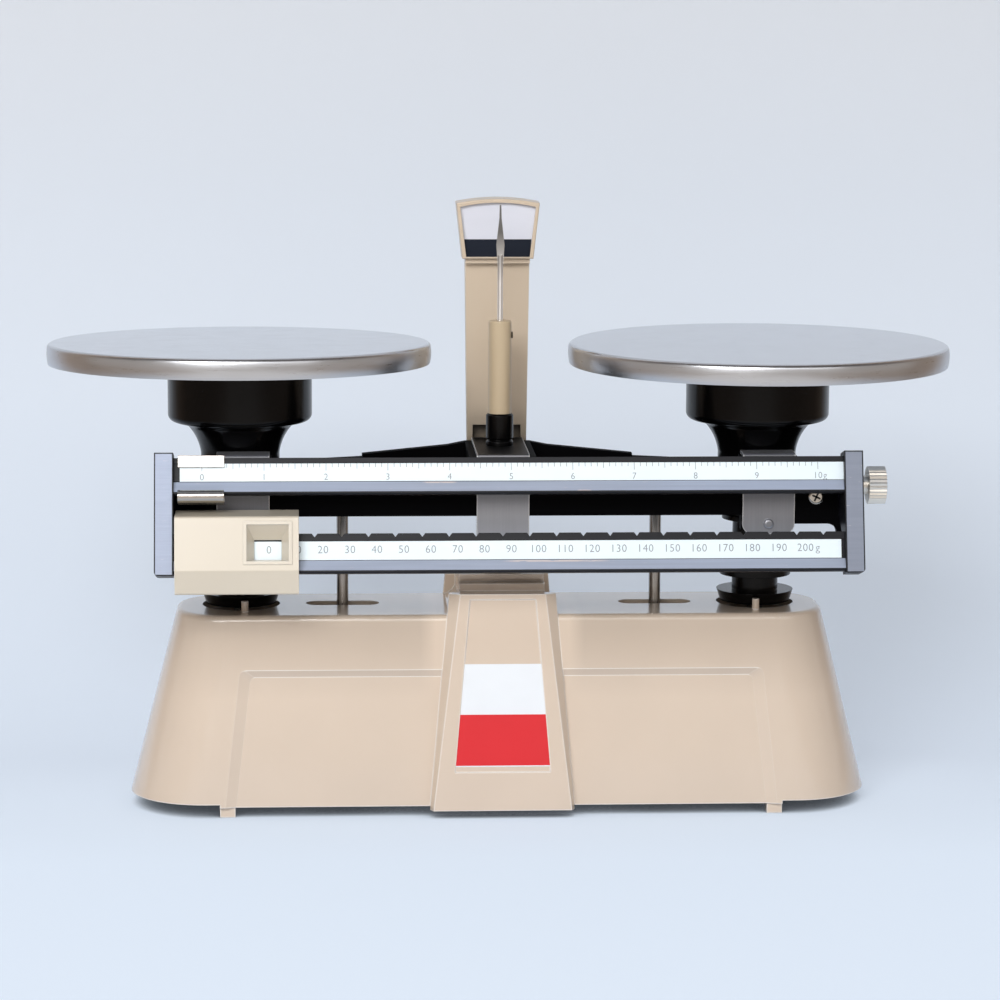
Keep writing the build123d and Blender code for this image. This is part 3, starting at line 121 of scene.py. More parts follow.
class Graph:
    """Adds and joins the nodes of one tree."""

    def __init__(self, tree: Tree) -> None:
        """Keep the tree and empty it.

        Args:
            tree: The node tree to fill.
        """
        self.tree = tree
        tree.nodes.clear()

    def feed(self, node: bpy.types.Node, inputs: dict[Any, Any]) -> None:
        """Set or join the inputs of a node.

        Args:
            node: The node.
            inputs: Values, or other nodes' sockets, by name or place.
        """
        for key, value in inputs.items():
            if isinstance(value, Socket):
                self.tree.links.new(value, node.inputs[key])
            else:
                node.inputs[key].default_value = value

    def add(self, kind: str, inputs: dict[Any, Any] | None = None, **settings: Any) -> bpy.types.Node:
        """Add a node, set it up and feed its inputs.

        Args:
            kind: The node's type without the "ShaderNode" that begins it.
            inputs: Values, or other nodes' sockets, for its inputs by name or place.
            settings: Values for the node's own settings.

        Returns:
            The new node.
        """
        node = self.tree.nodes.new("ShaderNode" + kind)
        for name, value in settings.items():
            setattr(node, name, value)
        self.feed(node, inputs or {})
        return node

    def group(self, tree: Tree, inputs: dict[Any, Any]) -> Socket:
        """Place a node group and feed its inputs.

        Args:
            tree: The group's tree.
            inputs: Values, or other nodes' sockets, for its inputs.

        Returns:
            The group's first output.
        """
        node = self.tree.nodes.new("ShaderNodeGroup")
        node.node_tree = tree
        self.feed(node, inputs)
        return node.outputs[0]

    def math(self, operation: str, first: Any, second: Any) -> Socket:
        """Join two values or sockets by one sum, as Blender names it."""
        return self.add("Math", {0: first, 1: second}, operation=operation).outputs[0]

    def spread(self, value: Any, low: float, high: float, start: float = 0.0, end: float = 1.0) -> Socket:
        """Map a value from the range low to high to the range start to end, held at its ends."""
        return self.add("MapRange", {0: value, 1: low, 2: high, 3: start, 4: end}).outputs[0]

    def product(self, first: Any, second: Any) -> Socket:
        """One value times another."""
        return self.math("MULTIPLY", first, second)

    def size(self, value: Any) -> Socket:
        """A value without its sign."""
        return self.math("ABSOLUTE", value, 0.0)

    def dim(self, colour: Socket, level: Any) -> Socket:
        """A colour times a level."""
        return self.add("VectorMath", {0: colour, "Scale": level}, operation="SCALE").outputs[0]

    def dot(self, first: Any, second: Any) -> Socket:
        """How far two vectors point the same way."""
        return self.add("VectorMath", {0: first, 1: second}, operation="DOT_PRODUCT").outputs["Value"]

    def bevel(self, radius: Any, samples: int = 6) -> Socket:
        """The normal with edges rounded to a radius."""
        return self.add("Bevel", {"Radius": radius}, samples=samples).outputs[0]

    def noise(self, scale: Any, detail: float, roughness: float = 0.5, place: Any = None) -> Socket:
        """Noise over the surface, or over another vector, as a value."""
        inputs = {"Vector": place or self.place(), "Scale": scale, "Detail": detail, "Roughness": roughness}
        return self.add("TexNoise", inputs).outputs[0]

    def openness(self, reach: Any, samples: int) -> Socket:
        """How open a place is to its surroundings within a reach, from 0 to 1."""
        return self.add("AmbientOcclusion", {"Distance": reach}, samples=samples).outputs["AO"]

    def parts(self, vector: Socket) -> Sequence[Socket]:
        """The three parts of a vector."""
        return self.add("SeparateXYZ", {0: vector}).outputs

    def blend(self, share: Any, first: Any, second: Any) -> Socket:
        """Mix two colours.

        Args:
            share: How much of the second colour shows.
            first: The first colour, or its socket.
            second: The second colour, or its socket.

        Returns:
            The mixed colour.
        """
        colours = [(*c, 1.0) if isinstance(c, tuple) else c for c in (first, second)]
        node = self.add("Mix", {0: share, 6: colours[0], 7: colours[1]}, data_type="RGBA")
        return node.outputs[2]

    def place(self) -> Socket:
        """The point on the surface, in the object's own frame."""
        return self.add("TexCoord").outputs["Object"]

    def axes(self) -> Sequence[Socket]:
        """The point on the surface as X, Y and Z."""
        return self.parts(self.place())


class Effect(Graph):
    """A shader node group while it is being filled."""

    def __init__(
        self, name: str, inputs: Sequence[tuple[str, str, Any]], output: tuple[str, str]
    ) -> None:
        """Start the group.

        Args:
            name: The group's name.
            inputs: Name, socket type and default value of each input.
            output: Name and socket type of the output.
        """
        super().__init__(bpy.data.node_groups.new(name, "ShaderNodeTree"))
        for label, kind, default in inputs:
            socket = self.tree.interface.new_socket(label, in_out="INPUT", socket_type="NodeSocket" + kind)
            socket.default_value = default
        self.tree.interface.new_socket(output[0], in_out="OUTPUT", socket_type="NodeSocket" + output[1])
        self.source = self.tree.nodes.new("NodeGroupInput").outputs
        self.result = self.tree.nodes.new("NodeGroupOutput").inputs[0]

    def close(self, value: Socket) -> Tree:
        """Join the group's output to a value and hand the group over."""
        self.tree.links.new(value, self.result)
        return self.tree


class Effects:
    """Surface effects that several finishes share, each a node group built once."""

    noise_span: Span = (0.3, 0.7)
    speck_rise: float = 0.04
    patch_fade: Span = (0.7, 1.0)
    edge_match: Span = (0.965, 0.997)
    edge_samples: int = 8
    border_fade: Span = (0.75, 1.0)
    open_span: Span = (0.15, 0.75)
    open_samples: int = 12

    def __init__(self) -> None:
        """Build every group."""
        self.peel = self._orange_peel()
        self.brush = self._brush_marks()
        self.uneven = self._uneven_tone()
        self.speck = self._specks()
        self.patch = self._patch()
        self.outline = self._outline()
        self.border = self._border()
        self.crevice = self._crevice()

    def _orange_peel(self) -> Tree:
        """The faint ripple of sprayed enamel, as a height."""
        effect = Effect("Orange peel", [("Scale", "Float", 700.0)], ("Height", "Float"))
        return effect.close(effect.noise(effect.source["Scale"], detail=1.0))

    def _brush_marks(self) -> Tree:
        """Fine parallel marks, as a value from 0 to 1."""
        inputs = [("Stretch", "Vector", (1.0, 1.0, 1.0)), ("Scale", "Float", 1500.0)]
        effect = Effect("Brush marks", inputs, ("Mark", "Float"))
        stretched = effect.add(
            "VectorMath", {0: effect.place(), 1: effect.source["Stretch"]}, operation="MULTIPLY"
        )
        noise = effect.noise(effect.source["Scale"], detail=3.0, roughness=0.65, place=stretched.outputs[0])
        return effect.close(effect.spread(noise, *self.noise_span))

    def _uneven_tone(self) -> Tree:
        """A colour that drifts slowly over the surface by a share of itself."""
        inputs = [
            ("Colour", "Color", (1.0, 1.0, 1.0, 1.0)),
            ("Share", "Float", 0.03),
            ("Scale", "Float", 25.0),
        ]
        effect = Effect("Uneven tone", inputs, ("Colour", "Color"))
        noise = effect.noise(effect.source["Scale"], detail=2.0)
        centred = effect.spread(noise, *self.noise_span, -1.0, 1.0)
        change = effect.product(centred, effect.source["Share"])
        factor = effect.math("ADD", change, 1.0)
        return effect.close(effect.dim(effect.source["Colour"], factor))

    def _specks(self) -> Tree:
        """Small scattered spots, as a mask."""
        inputs = [("Scale", "Float", 300.0), ("Rarity", "Float", 0.72)]
        effect = Effect("Specks", inputs, ("Mask", "Float"))
        noise = effect.noise(effect.source["Scale"], detail=4.0, roughness=0.6)
        over = effect.math("SUBTRACT", noise, effect.source["Rarity"])
        return effect.close(effect.spread(over, 0.0, self.speck_rise))

    def _patch(self) -> Tree:
        """A stretch along X that fades at its ends, as a mask."""
        inputs = [("Middle", "Float", 0.0), ("Half", "Float", 0.01)]
        effect = Effect("Patch along X", inputs, ("Mask", "Float"))
        along = effect.axes()[0]
        away = effect.math("SUBTRACT", along, effect.source["Middle"])
        share = effect.math("DIVIDE", effect.size(away), effect.source["Half"])
        return effect.close(effect.spread(share, *self.patch_fade, 1.0, 0.0))

    def _outline(self) -> Tree:
        """The band along the edges of a piece, as a mask."""
        effect = Effect("Edge band", [("Width", "Float", 0.5 * MM)], ("Mask", "Float"))
        rounded = effect.bevel(effect.source["Width"], samples=self.edge_samples)
        true_normal = effect.add("NewGeometry").outputs["True Normal"]
        match = effect.dot(rounded, true_normal)
        return effect.close(effect.spread(match, *self.edge_match, 1.0, 0.0))

    def _border(self) -> Tree:
        """The bands just inside the two ends of a range, as a mask."""
        inputs = [
            ("Value", "Float", 0.0),
            ("Low", "Float", 0.0),
            ("High", "Float", 1.0),
            ("Width", "Float", 0.5 * MM),
        ]
        effect = Effect("Border of a range", inputs, ("Mask", "Float"))
        value, low, high, width = (effect.source[name] for name in ("Value", "Low", "High", "Width"))
        above = effect.math("SUBTRACT", value, low)
        below = effect.math("SUBTRACT", high, value)
        near = effect.math("DIVIDE", effect.math("MINIMUM", above, below), width)
        return effect.close(effect.spread(near, *self.border_fade, 1.0, 0.0))

    def _crevice(self) -> Tree:
        """How far a place is shut in by the surfaces around it, as a mask for painted shade."""
        effect = Effect("Crevice", [("Reach", "Float", 10.0 * MM)], ("Mask", "Float"))
        bare = effect.openness(effect.source["Reach"], self.open_samples)
        return effect.close(effect.spread(bare, *self.open_span, 1.0, 0.0))


def start_material(name: str, inputs: dict[str, float]) -> tuple[Material, Graph, bpy.types.Node]:
    """Start a material with a Principled shader.

    Args:
        name: The material's name.
        inputs: The shader's values that are the same all over.

    Returns:
        The material, its graph and the shader node.
    """
    material = bpy.data.materials.new(name)
    material.use_nodes = True
    graph = Graph(material.node_tree)
    shader = graph.add("BsdfPrincipled", inputs)
    graph.add("OutputMaterial", {"Surface": shader.outputs[0]})
    return material, graph, shader


@dataclass(frozen=True)
class Enamel:
    """Sprayed paint with softened edges, and optional painted highlights on edges and steps, painted shade in
    hollows and painted shade by height.
    """

    name: str
    colour: Colour
    roughness: float = 0.34
    specular: float = 0.5
    coat: float = 0.25
    coat_roughness: float = 0.12
    ripple: float = 0.03
    ripple_depth: float = 0.2 * MM
    drift: float = 0.02
    speck_scale: float = 420.0
    speck_rarity: float = 0.7
    speck_rough: float = 0.12
    edge: float = 0.4 * MM
    edge_change: float = 0.0
    edge_width: float = 0.6 * MM
    crevice: float = 0.0
    crevice_reach: float = 9.0 * MM
    crevice_tone: float = 0.12
    crevice_span: Span | None = None
    line: float = 0.0
    line_lean: float = -0.145
    line_width: float = 0.7 * MM
    line_samples: int = 16
    line_span: Span = (40.0 * MM, 60.0 * MM)
    line_front: float = -20.0 * MM
    line_near: Span = (0.07, 0.17)
    line_turn: Span = (0.04, 0.12)
    line_colour: Colour = (1.0, 0.97, 0.92)
    shade: float = 1.0
    shade_span: Span = (46.0 * MM, 74.0 * MM)
    shade_clear: Span = (26.0 * MM, 32.0 * MM)

    def build(self, effects: Effects) -> Material:
        """Build the paint.

        Args:
            effects: The shared effects.

        Returns:
            The finished material.
        """
        gloss = {"Coat Weight": self.coat, "Coat Roughness": self.coat_roughness}
        gloss["Specular IOR Level"] = self.specular
        material, graph, shader = start_material(self.name, gloss)
        tone = graph.group(effects.uneven, {"Colour": (*self.colour, 1.0), "Share": self.drift})
        # Painted highlight: edges lightened towards white, standing in for light caught by rounded edges.
        if self.edge_change:
            band = graph.group(effects.outline, {"Width": self.edge_width})
            tone = graph.blend(graph.product(band, self.edge_change), tone, WHITE)
        # Painted shade: darkened towards crevice_tone where the surface is shut in, in hollows and corners.
        if self.crevice:
            shut = graph.group(effects.crevice, {"Reach": self.crevice_reach})
            if self.crevice_span:
                height = graph.axes()[2]
                shut = graph.product(shut, graph.spread(height, *self.crevice_span))
            shade = tuple(c * self.crevice_tone for c in self.colour)
            tone = graph.blend(graph.product(shut, self.crevice), tone, shade)
        # Painted highlights along the two edges of the panels' steps.
        if self.line:
            tone = self._draw_line(graph, tone)
        # Painted shade: the colour dims with height over shade_span, as under the bars in front, except
        # within shade_clear of the middle.
        if self.shade < 1.0:
            across, _, height = graph.axes()
            aside = graph.spread(graph.size(across), *self.shade_clear)
            fall = graph.spread(height, *self.shade_span, 0.0, 1.0 - self.shade)
            level = graph.math("SUBTRACT", 1.0, graph.product(fall, aside))
            tone = graph.dim(tone, level)
        speck = graph.group(effects.speck, {"Scale": self.speck_scale, "Rarity": self.speck_rarity})
        rough = graph.spread(speck, 0.0, 1.0, self.roughness, self.roughness + self.speck_rough)
        peel = graph.group(effects.peel, {})
        rounded = graph.bevel(self.edge)
        ripple = {"Strength": self.ripple, "Distance": self.ripple_depth, "Height": peel, "Normal": rounded}
        bump = graph.add("Bump", ripple)
        graph.feed(shader, {"Base Color": tone, "Roughness": rough, "Normal": bump.outputs[0]})
        return material

    def _draw_line(self, graph: Graph, tone: Socket) -> Socket:
        """Paint highlights on the two edges of a step that faces down, within the given span of heights.

        Args:
            graph: The graph of the material.
            tone: The colour so far.

        Returns:
            The colour with the lines.
        """
        rounded = graph.bevel(self.line_width, self.line_samples)
        turn, _, lean = graph.parts(rounded)
        off = graph.size(graph.math("SUBTRACT", lean, self.line_lean))
        straight = graph.spread(graph.size(turn), *self.line_turn, 1.0, 0.0)
        on_edge = graph.product(graph.spread(off, *self.line_near, self.line, 0.0), straight)
        _, along, height = graph.axes()
        low, high = self.line_span
        above = graph.math("GREATER_THAN", height, low)
        below = graph.math("LESS_THAN", height, high)
        ahead = graph.math("LESS_THAN", along, self.line_front)
        here = graph.product(graph.product(above, below), ahead)
        return graph.blend(graph.product(on_edge, here), tone, self.line_colour)


@dataclass(frozen=True)
class Metal:
    """Bare or plated metal with brush marks, and optional painted shade by height, painted dark reflection on
    faces that point up and painted highlights along edges.
    """

    name: str
    colour: Colour
    roughness: float = 0.25
    rough_spread: float = 0.1
    tone_spread: float = 0.08
    grain: Grain = Grain.ALONG_Z
    scale: float = 1500.0
    edge: float = 0.25 * MM
    glint: float = 0.0
    glint_width: float = 0.7 * MM
    dark_top: Colour | None = None
    side_roughness: float | None = None
    fade: float = 1.0
    fade_span: Span = (104.0 * MM, 128.0 * MM)
    top_span: Span = (0.6, 0.9)

    def build(self, effects: Effects) -> Material:
        """Build the metal.

        Args:
            effects: The shared effects.

        Returns:
            The finished material.
        """
        material, graph, shader = start_material(self.name, {"Metallic": 1.0})
        marks = graph.group(effects.brush, {"Stretch": self.grain.value, "Scale": self.scale})
        low = tuple(c * (1 - self.tone_spread) for c in self.colour)
        tone = graph.blend(marks, low, self.colour)
        on_top = graph.spread(graph.parts(graph.add("NewGeometry").outputs["Normal"])[2], *self.top_span)
        # Painted shade: the colour dims to fade at the top of fade_span; faces that point up are spared.
        if self.fade < 1.0:
            height = graph.axes()[2]
            level = graph.math("MAXIMUM", graph.spread(height, *self.fade_span, 1.0, self.fade), on_top)
            tone = graph.dim(tone, level)
        # Painted reflection: faces that point up are darkened, standing in for the black boss they mirror.
        if self.dark_top:
            tone = graph.blend(on_top, tone, self.dark_top)
        # Painted highlight: a pale band along the edges, standing in for light caught by them.
        if self.glint:
            band = graph.group(effects.outline, {"Width": self.glint_width})
            tone = graph.blend(graph.product(band, self.glint), tone, WHITE)
        half = self.rough_spread / 2
        rough = graph.spread(marks, 0.0, 1.0, self.roughness - half, self.roughness + half)
        if self.side_roughness:
            more = graph.spread(on_top, 0.0, 1.0, self.side_roughness - self.roughness, 0.0)
            rough = graph.math("ADD", rough, more)
        graph.feed(shader, {"Base Color": tone, "Roughness": rough})
        if self.edge:
            graph.feed(shader, {"Normal": graph.bevel(self.edge)})
        return material


@dataclass(frozen=True)
class Flat:
    """A plain printed or moulded colour."""

    name: str
    colour: Colour
    roughness: float = 0.5
    specular: float = 0.5
    drift: float = 0.015
    drift_scale: float = 60.0
    speck_scale: float = 500.0
    speck_rarity: float = 0.7
    speck_rough: float = 0.15

    def build(self, effects: Effects) -> Material:
        """Build the colour.

        Args:
            effects: The shared effects.

        Returns:
            The finished material.
        """
        material, graph, shader = start_material(self.name, {"Specular IOR Level": self.specular})
        drift = {"Colour": (*self.colour, 1.0), "Share": self.drift, "Scale": self.drift_scale}
        tone = graph.group(effects.uneven, drift)
        speck = graph.group(effects.speck, {"Scale": self.speck_scale, "Rarity": self.speck_rarity})
        rough = graph.spread(speck, 0.0, 1.0, self.roughness, self.roughness + self.speck_rough)
        graph.feed(shader, {"Base Color": tone, "Roughness": rough})
        return material


@dataclass(frozen=True)
class BarFrame:
    """The leaning frame of the two graduated bars, and the heights of their parts."""

    lean: float = math.radians(15.0)
    y: float = -45.6 * MM
    z: float = 98.7 * MM
    lip: float = 5.2 * MM
    lip_edge: float = 0.9 * MM
    upper_foot: float = 30.3 * MM
    strip_face: float = 2.6 * MM
    lower_strip: Span = (5.2 * MM, 12.4 * MM)
    upper_strip: Span = (35.5 * MM, 42.4 * MM)
    cap_span: Span = (-0.8 * MM, 46.4 * MM)

    @property
    def forward(self) -> Vector:
        """The way the bars face."""
        return Vector((0.0, -math.cos(self.lean), math.sin(self.lean)))

    @property
    def upward(self) -> Vector:
        """The way up the bars' faces."""
        return Vector((0.0, math.sin(self.lean), math.cos(self.lean)))

    def matrix(self, x: float, reach: float, height: float) -> Matrix:
        """A frame on a bar's face, with its X along the bar and its Y up the face.

        Args:
            x: Place along the bars.
            reach: Distance in front of the bars' back.
            height: Height up the frame.

        Returns:
            The matrix that lays a flat piece there.
        """
        point = Vector((x, self.y, self.z)) + self.forward * reach + self.upward * height
        turn = Matrix((Vector((1.0, 0.0, 0.0)), self.upward, self.forward)).transposed().to_4x4()
        return Matrix.Translation(point) @ turn


@dataclass(frozen=True)
class Scuff:
    """A rubbed stretch of a bar's lip: its middle and half length, and its middle and half height."""

    along: float
    half_length: float
    height: float
    half_height: float


@dataclass(frozen=True)
class BarPaint:
    """Dark anodised aluminium whose front faces are grey satin, with scuffs."""

    name: str
    frame: BarFrame
    grey: Colour
    dark: Colour
    ends: Span | None = None
    rim: float = 0.55 * MM
    roughness: float = 0.4
    rough_half: float = 0.06
    metallic: float = 0.25
    specular: float = 0.3
    edge: float = 0.3 * MM
    front_span: Span = (0.8, 0.88)
    outline: float = 0.25 * MM
    mark_scale: float = 900.0
    mark_tone: float = 0.9
    streak: Point = (0.12, 1.0, 1.0)
    streak_scale: float = 1300.0
    worn: Colour = linear(226, 216, 216)
    scratch_span: Span = (0.9, 1.0)
    scratches: float = 0.2
    scuff_span: Span = (0.15, 0.45)
    scuff_share: float = 0.9
    scuff_core: float = 0.6
    scuffs: tuple[Scuff, ...] = ()

    def build(self, effects: Effects) -> Material:
        """Build the finish.

        Args:
            effects: The shared effects.

        Returns:
            The finished material.
        """
        gloss = {"Metallic": self.metallic, "Specular IOR Level": self.specular}
        material, graph, shader = start_material(self.name, gloss)
        facing = graph.dot(graph.add("NewGeometry").outputs["True Normal"], self.frame.forward)
        front = graph.spread(facing, *self.front_span)
        face = graph.product(front, self._zone(graph, effects))
        marks = graph.group(effects.brush, {"Stretch": Grain.ALONG_X.value, "Scale": self.mark_scale})
        low = tuple(c * self.mark_tone for c in self.grey)
        satin = graph.blend(marks, low, self.grey)
        satin = graph.blend(self._scuff_mask(graph, effects), satin, self.worn)
        tone = graph.blend(face, self.dark, satin)
        half = self.rough_half
        rough = graph.spread(marks, 0.0, 1.0, self.roughness - half, self.roughness + half)
        rounded = graph.bevel(self.edge)
        graph.feed(shader, {"Base Color": tone, "Roughness": rough, "Normal": rounded})
        return material

    def _height(self, graph: Graph) -> Socket:
        """The height up the bars' frame."""
        offset = Vector((0.0, self.frame.y, self.frame.z)).dot(self.frame.upward)
        return graph.math("SUBTRACT", graph.dot(graph.place(), self.frame.upward), offset)

    def _zone(self, graph: Graph, effects: Effects) -> Socket:
        """The part of the front that is grey: the lips of both bars, or a cap within its rim.

        Args:
            graph: The graph of the material.
            effects: The shared effects.

        Returns:
            The part as a mask.
        """
        height = self._height(graph)
        if self.ends:
            along = graph.axes()[0]
            low, high = self.frame.cap_span
            sides = {"Value": along, "Low": self.ends[0], "High": self.ends[1], "Width": self.rim}
            ends = {"Value": height, "Low": low, "High": high, "Width": self.rim}
            rim = graph.math(
                "MAXIMUM", graph.group(effects.border, sides), graph.group(effects.border, ends)
            )
            return graph.math("SUBTRACT", 1.0, rim)
        on_upper = graph.math("GREATER_THAN", height, self.frame.upper_foot - self.frame.lip)
        foot = graph.product(on_upper, self.frame.upper_foot)
        within = {
            "Value": graph.math("SUBTRACT", height, foot),
            "Low": self.frame.lip_edge,
            "High": self.frame.lip,
            "Width": self.outline,
        }
        return graph.math("SUBTRACT", 1.0, graph.group(effects.border, within))

    def _scuff_mask(self, graph: Graph, effects: Effects) -> Socket:
        """Pale scratches where the satin was rubbed.

        Args:
            graph: The graph of the material.
            effects: The shared effects.

        Returns:
            The scratches as a mask.
        """
        streaks = graph.group(effects.brush, {"Stretch": self.streak, "Scale": self.streak_scale})
        mask = graph.product(graph.spread(streaks, *self.scratch_span), self.scratches)
        heavy = graph.spread(streaks, *self.scuff_span, 0.0, self.scuff_share)
        height = self._height(graph)
        for scuff in self.scuffs:
            patch = graph.group(effects.patch, {"Middle": scuff.along, "Half": scuff.half_length})
            away = graph.size(graph.math("SUBTRACT", height, scuff.height))
            band = graph.spread(away, scuff.half_height * self.scuff_core, scuff.half_height, 1.0, 0.0)
            worn = graph.product(graph.product(patch, band), heavy)
            mask = graph.math("MAXIMUM", mask, worn)
        return mask


@dataclass
class PhotoCamera:
    """The camera at the photograph's angle."""

    target: Point = (0.3 * MM, 0.0, 120.0 * MM)
    azimuth: float = -3.10
    elevation: float = 8.97
    roll: float = 0.26
    distance: float = 1384.0 * MM
    lens: float = 126.0
    sensor: float = 36.0
    reach: float = 50.0

    def build(self) -> None:
        """Place the camera and make it the scene's."""
        azimuth, elevation, roll = (math.radians(a) for a in (self.azimuth, self.elevation, self.roll))
        back = Vector((
            math.sin(azimuth) * math.cos(elevation),
            -math.cos(azimuth) * math.cos(elevation),
            math.sin(elevation),
        ))
        right = (-back).cross(Vector((0.0, 0.0, 1.0))).normalized()
        up = right.cross(-back)
        tilted_right = math.cos(roll) * right + math.sin(roll) * up
        tilted_up = math.cos(roll) * up - math.sin(roll) * right
        data = bpy.data.cameras.new("photo camera")
        data.lens = self.lens
        data.sensor_width = self.sensor
        data.sensor_fit = "HORIZONTAL"
        data.clip_end = self.reach
        camera = bpy.data.objects.new("photo camera", data)
        turn = Matrix((tilted_right, tilted_up, back)).transposed().to_4x4()
        camera.matrix_world = Matrix.Translation(Vector(self.target) + back * self.distance) @ turn
        bpy.context.scene.collection.objects.link(camera)
        bpy.context.scene.camera = camera
        LOG.info("camera")


@dataclass(frozen=True)
class Lamp:
    """One soft box."""

    name: str
    place: Point
    target: Point
    width: float
    height: float
    power: float
    colour: Colour

    def build(self) -> None:
        """Hang the lamp."""
        data = bpy.data.lights.new(self.name, "AREA")
        data.shape = "RECTANGLE"
        data.size = self.width
        data.size_y = self.height
        data.energy = self.power
        data.color = self.colour
        lamp = bpy.data.objects.new(self.name, data)
        lamp.location = self.place
        turn = (Vector(self.target) - Vector(self.place)).to_track_quat("-Z", "Y")
        lamp.rotation_euler = turn.to_euler()
        bpy.context.scene.collection.objects.link(lamp)
        LOG.info("lamp %s", self.name)


@dataclass
class Studio:
    """A pale sheet swept up close behind the balance, in a dim warm room lit from the front left."""

    front: float = -2.2
    back: float = 0.07
    bend: float = 0.22
    top: float = 2.2
    half_width: float = 2.4
    bend_steps: int = 32
    sheet_front: float = -1.6
    sheet_half: float = 0.62
    fade: float = 0.25
    warm_span: Span = (-0.4, -0.2)
    floor_colour: Colour = linear(228, 240, 255)
    wall_colour: Colour = linear(215, 219, 225)
    far_colour: Colour = linear(214, 219, 227)
    table: Colour = linear(178, 160, 144)
    sheet: Colour = linear(250, 245, 240)
    floor_glow: float = 0.75
    back_glow: float = 0.4
    glow_span: Span = (-0.1, 0.06)
    colour_height: float = 0.45
    contact: float = 100.0 * MM
    contact_samples: int = 12
    contact_span: Span = (0.05, 0.5)
    contact_shade: float = 0.06
    room: Colour = (0.54, 0.48, 0.43)
    ceiling: Colour = (0.14, 0.12, 0.11)
    ceiling_span: Span = (0.1, 0.6)
    lamps: tuple[Lamp, ...] = (
        Lamp("key light", (-0.55, -1.57, 1.1), (0.0, 0.0, 0.12), 1.0, 0.8, 21.5, (1.0, 0.99, 0.98)),
        Lamp("front light", (0.1, -1.65, 0.95), (0.0, 0.0, 0.12), 3.0, 0.7, 10.0, (1.0, 0.99, 0.98)),
    )

    def build(self) -> None:
        """Build the sweep, the lamps and the world."""
        self._sweep()
        for lamp in self.lamps:
            lamp.build()
        self._world()

    def _sweep(self) -> None:
        """The floor and the wall in one bent sheet."""
        mesh = bmesh.new()
        corners = [mesh.verts.new((x, self.front, 0.0)) for x in (-self.half_width, self.half_width)]
        flat = bmesh.ops.extrude_edge_only(mesh, edges=[mesh.edges.new(corners)])
        moved = [v for v in flat["geom"] if isinstance(v, Corner)]
        bmesh.ops.translate(mesh, verts=moved, vec=(0.0, self.back - self.front, 0.0))
        end = [e for e in flat["geom"] if isinstance(e, bmesh.types.BMEdge)]
        bent = bmesh.ops.spin(
            mesh,
            geom=moved + end,
            cent=(0.0, self.back, self.bend),
            axis=(1.0, 0.0, 0.0),
            angle=math.radians(90),
            steps=self.bend_steps,
        )
        last = [e for e in bent["geom_last"] if isinstance(e, bmesh.types.BMEdge)]
        wall = bmesh.ops.extrude_edge_only(mesh, edges=last)
        raised = [v for v in wall["geom"] if isinstance(v, Corner)]
        bmesh.ops.translate(mesh, verts=raised, vec=(0.0, 0.0, self.top - self.bend))
        bmesh.ops.recalc_face_normals(mesh, faces=mesh.faces)
        mesh.faces.ensure_lookup_table()
        if mesh.faces[0].normal.z < 0:
            bmesh.ops.reverse_faces(mesh, faces=mesh.faces)
        sweep = finish_mesh(mesh, "sweep", smooth=True)
        sweep.data.materials.append(self._paper())
        LOG.info("sweep")

    def _paper(self) -> Material:
        """Pale paper that partly glows to the camera, keeps the shadow and a painted contact shadow, and is
        clear from behind.
        """
        material = bpy.data.materials.new("pale paper")
        material.use_nodes = True
        graph = Graph(material.node_tree)
        across, along, height = graph.axes()
        way = graph.spread(height, 0.0, self.colour_height)
        colour = graph.blend(way, self.floor_colour, self.wall_colour)
        path = graph.add("LightPath").outputs
        aside = graph.size(across)
        within = graph.spread(aside, self.sheet_half - self.fade, self.sheet_half, 1.0, 0.0)
        ahead = graph.spread(along, self.sheet_front, self.sheet_front + self.fade)
        nearby = graph.blend(graph.spread(along, *self.warm_span), self.sheet, colour)
        mirrored = graph.blend(graph.product(within, ahead), self.table, nearby)
        colour = graph.blend(path["Is Camera Ray"], mirrored, colour)
        # Painted contact shadow: the colour dims towards contact_shade where the paper is shut in by the
        # balance.
        bare = graph.openness(self.contact, self.contact_samples)
        contact_shadow = graph.spread(bare, *self.contact_span, self.contact_shade, 1.0)
        colour = graph.dim(colour, contact_shadow)
        paper = graph.add("BsdfDiffuse", {"Color": colour}).outputs[0]
        glow = graph.add("Emission", {"Color": colour, "Strength": 1.0}).outputs[0]
        seen = graph.math("MAXIMUM", path["Is Camera Ray"], path["Is Glossy Ray"])
        own_light = graph.spread(along, *self.glow_span, self.floor_glow, self.back_glow)
        share = graph.product(seen, own_light)
        front = graph.add("MixShader", {0: share, 1: paper, 2: glow}).outputs[0]
        clear = graph.add("BsdfTransparent").outputs[0]
        behind = graph.add("NewGeometry").outputs["Backfacing"]
        both = graph.add("MixShader", {0: behind, 1: front, 2: clear}).outputs[0]
        graph.add("OutputMaterial", {"Surface": both})
        return material

    def _world(self) -> None:
        """A warm room that darkens towards its ceiling, pale where the camera looks past the sheet."""
        world = bpy.data.worlds.new("studio")
        bpy.context.scene.world = world
        world.use_nodes = True
        graph = Graph(world.node_tree)
        ray = graph.add("TexCoord").outputs["Generated"]
        lift = graph.parts(ray)[2]
        room = graph.blend(graph.spread(lift, *self.ceiling_span), self.room, self.ceiling)
        seen = graph.add("LightPath").outputs["Is Camera Ray"]
        light = graph.add("Background", {"Color": graph.blend(seen, room, self.far_colour)})
        graph.add("OutputWorld", {"Surface": light.outputs[0]})


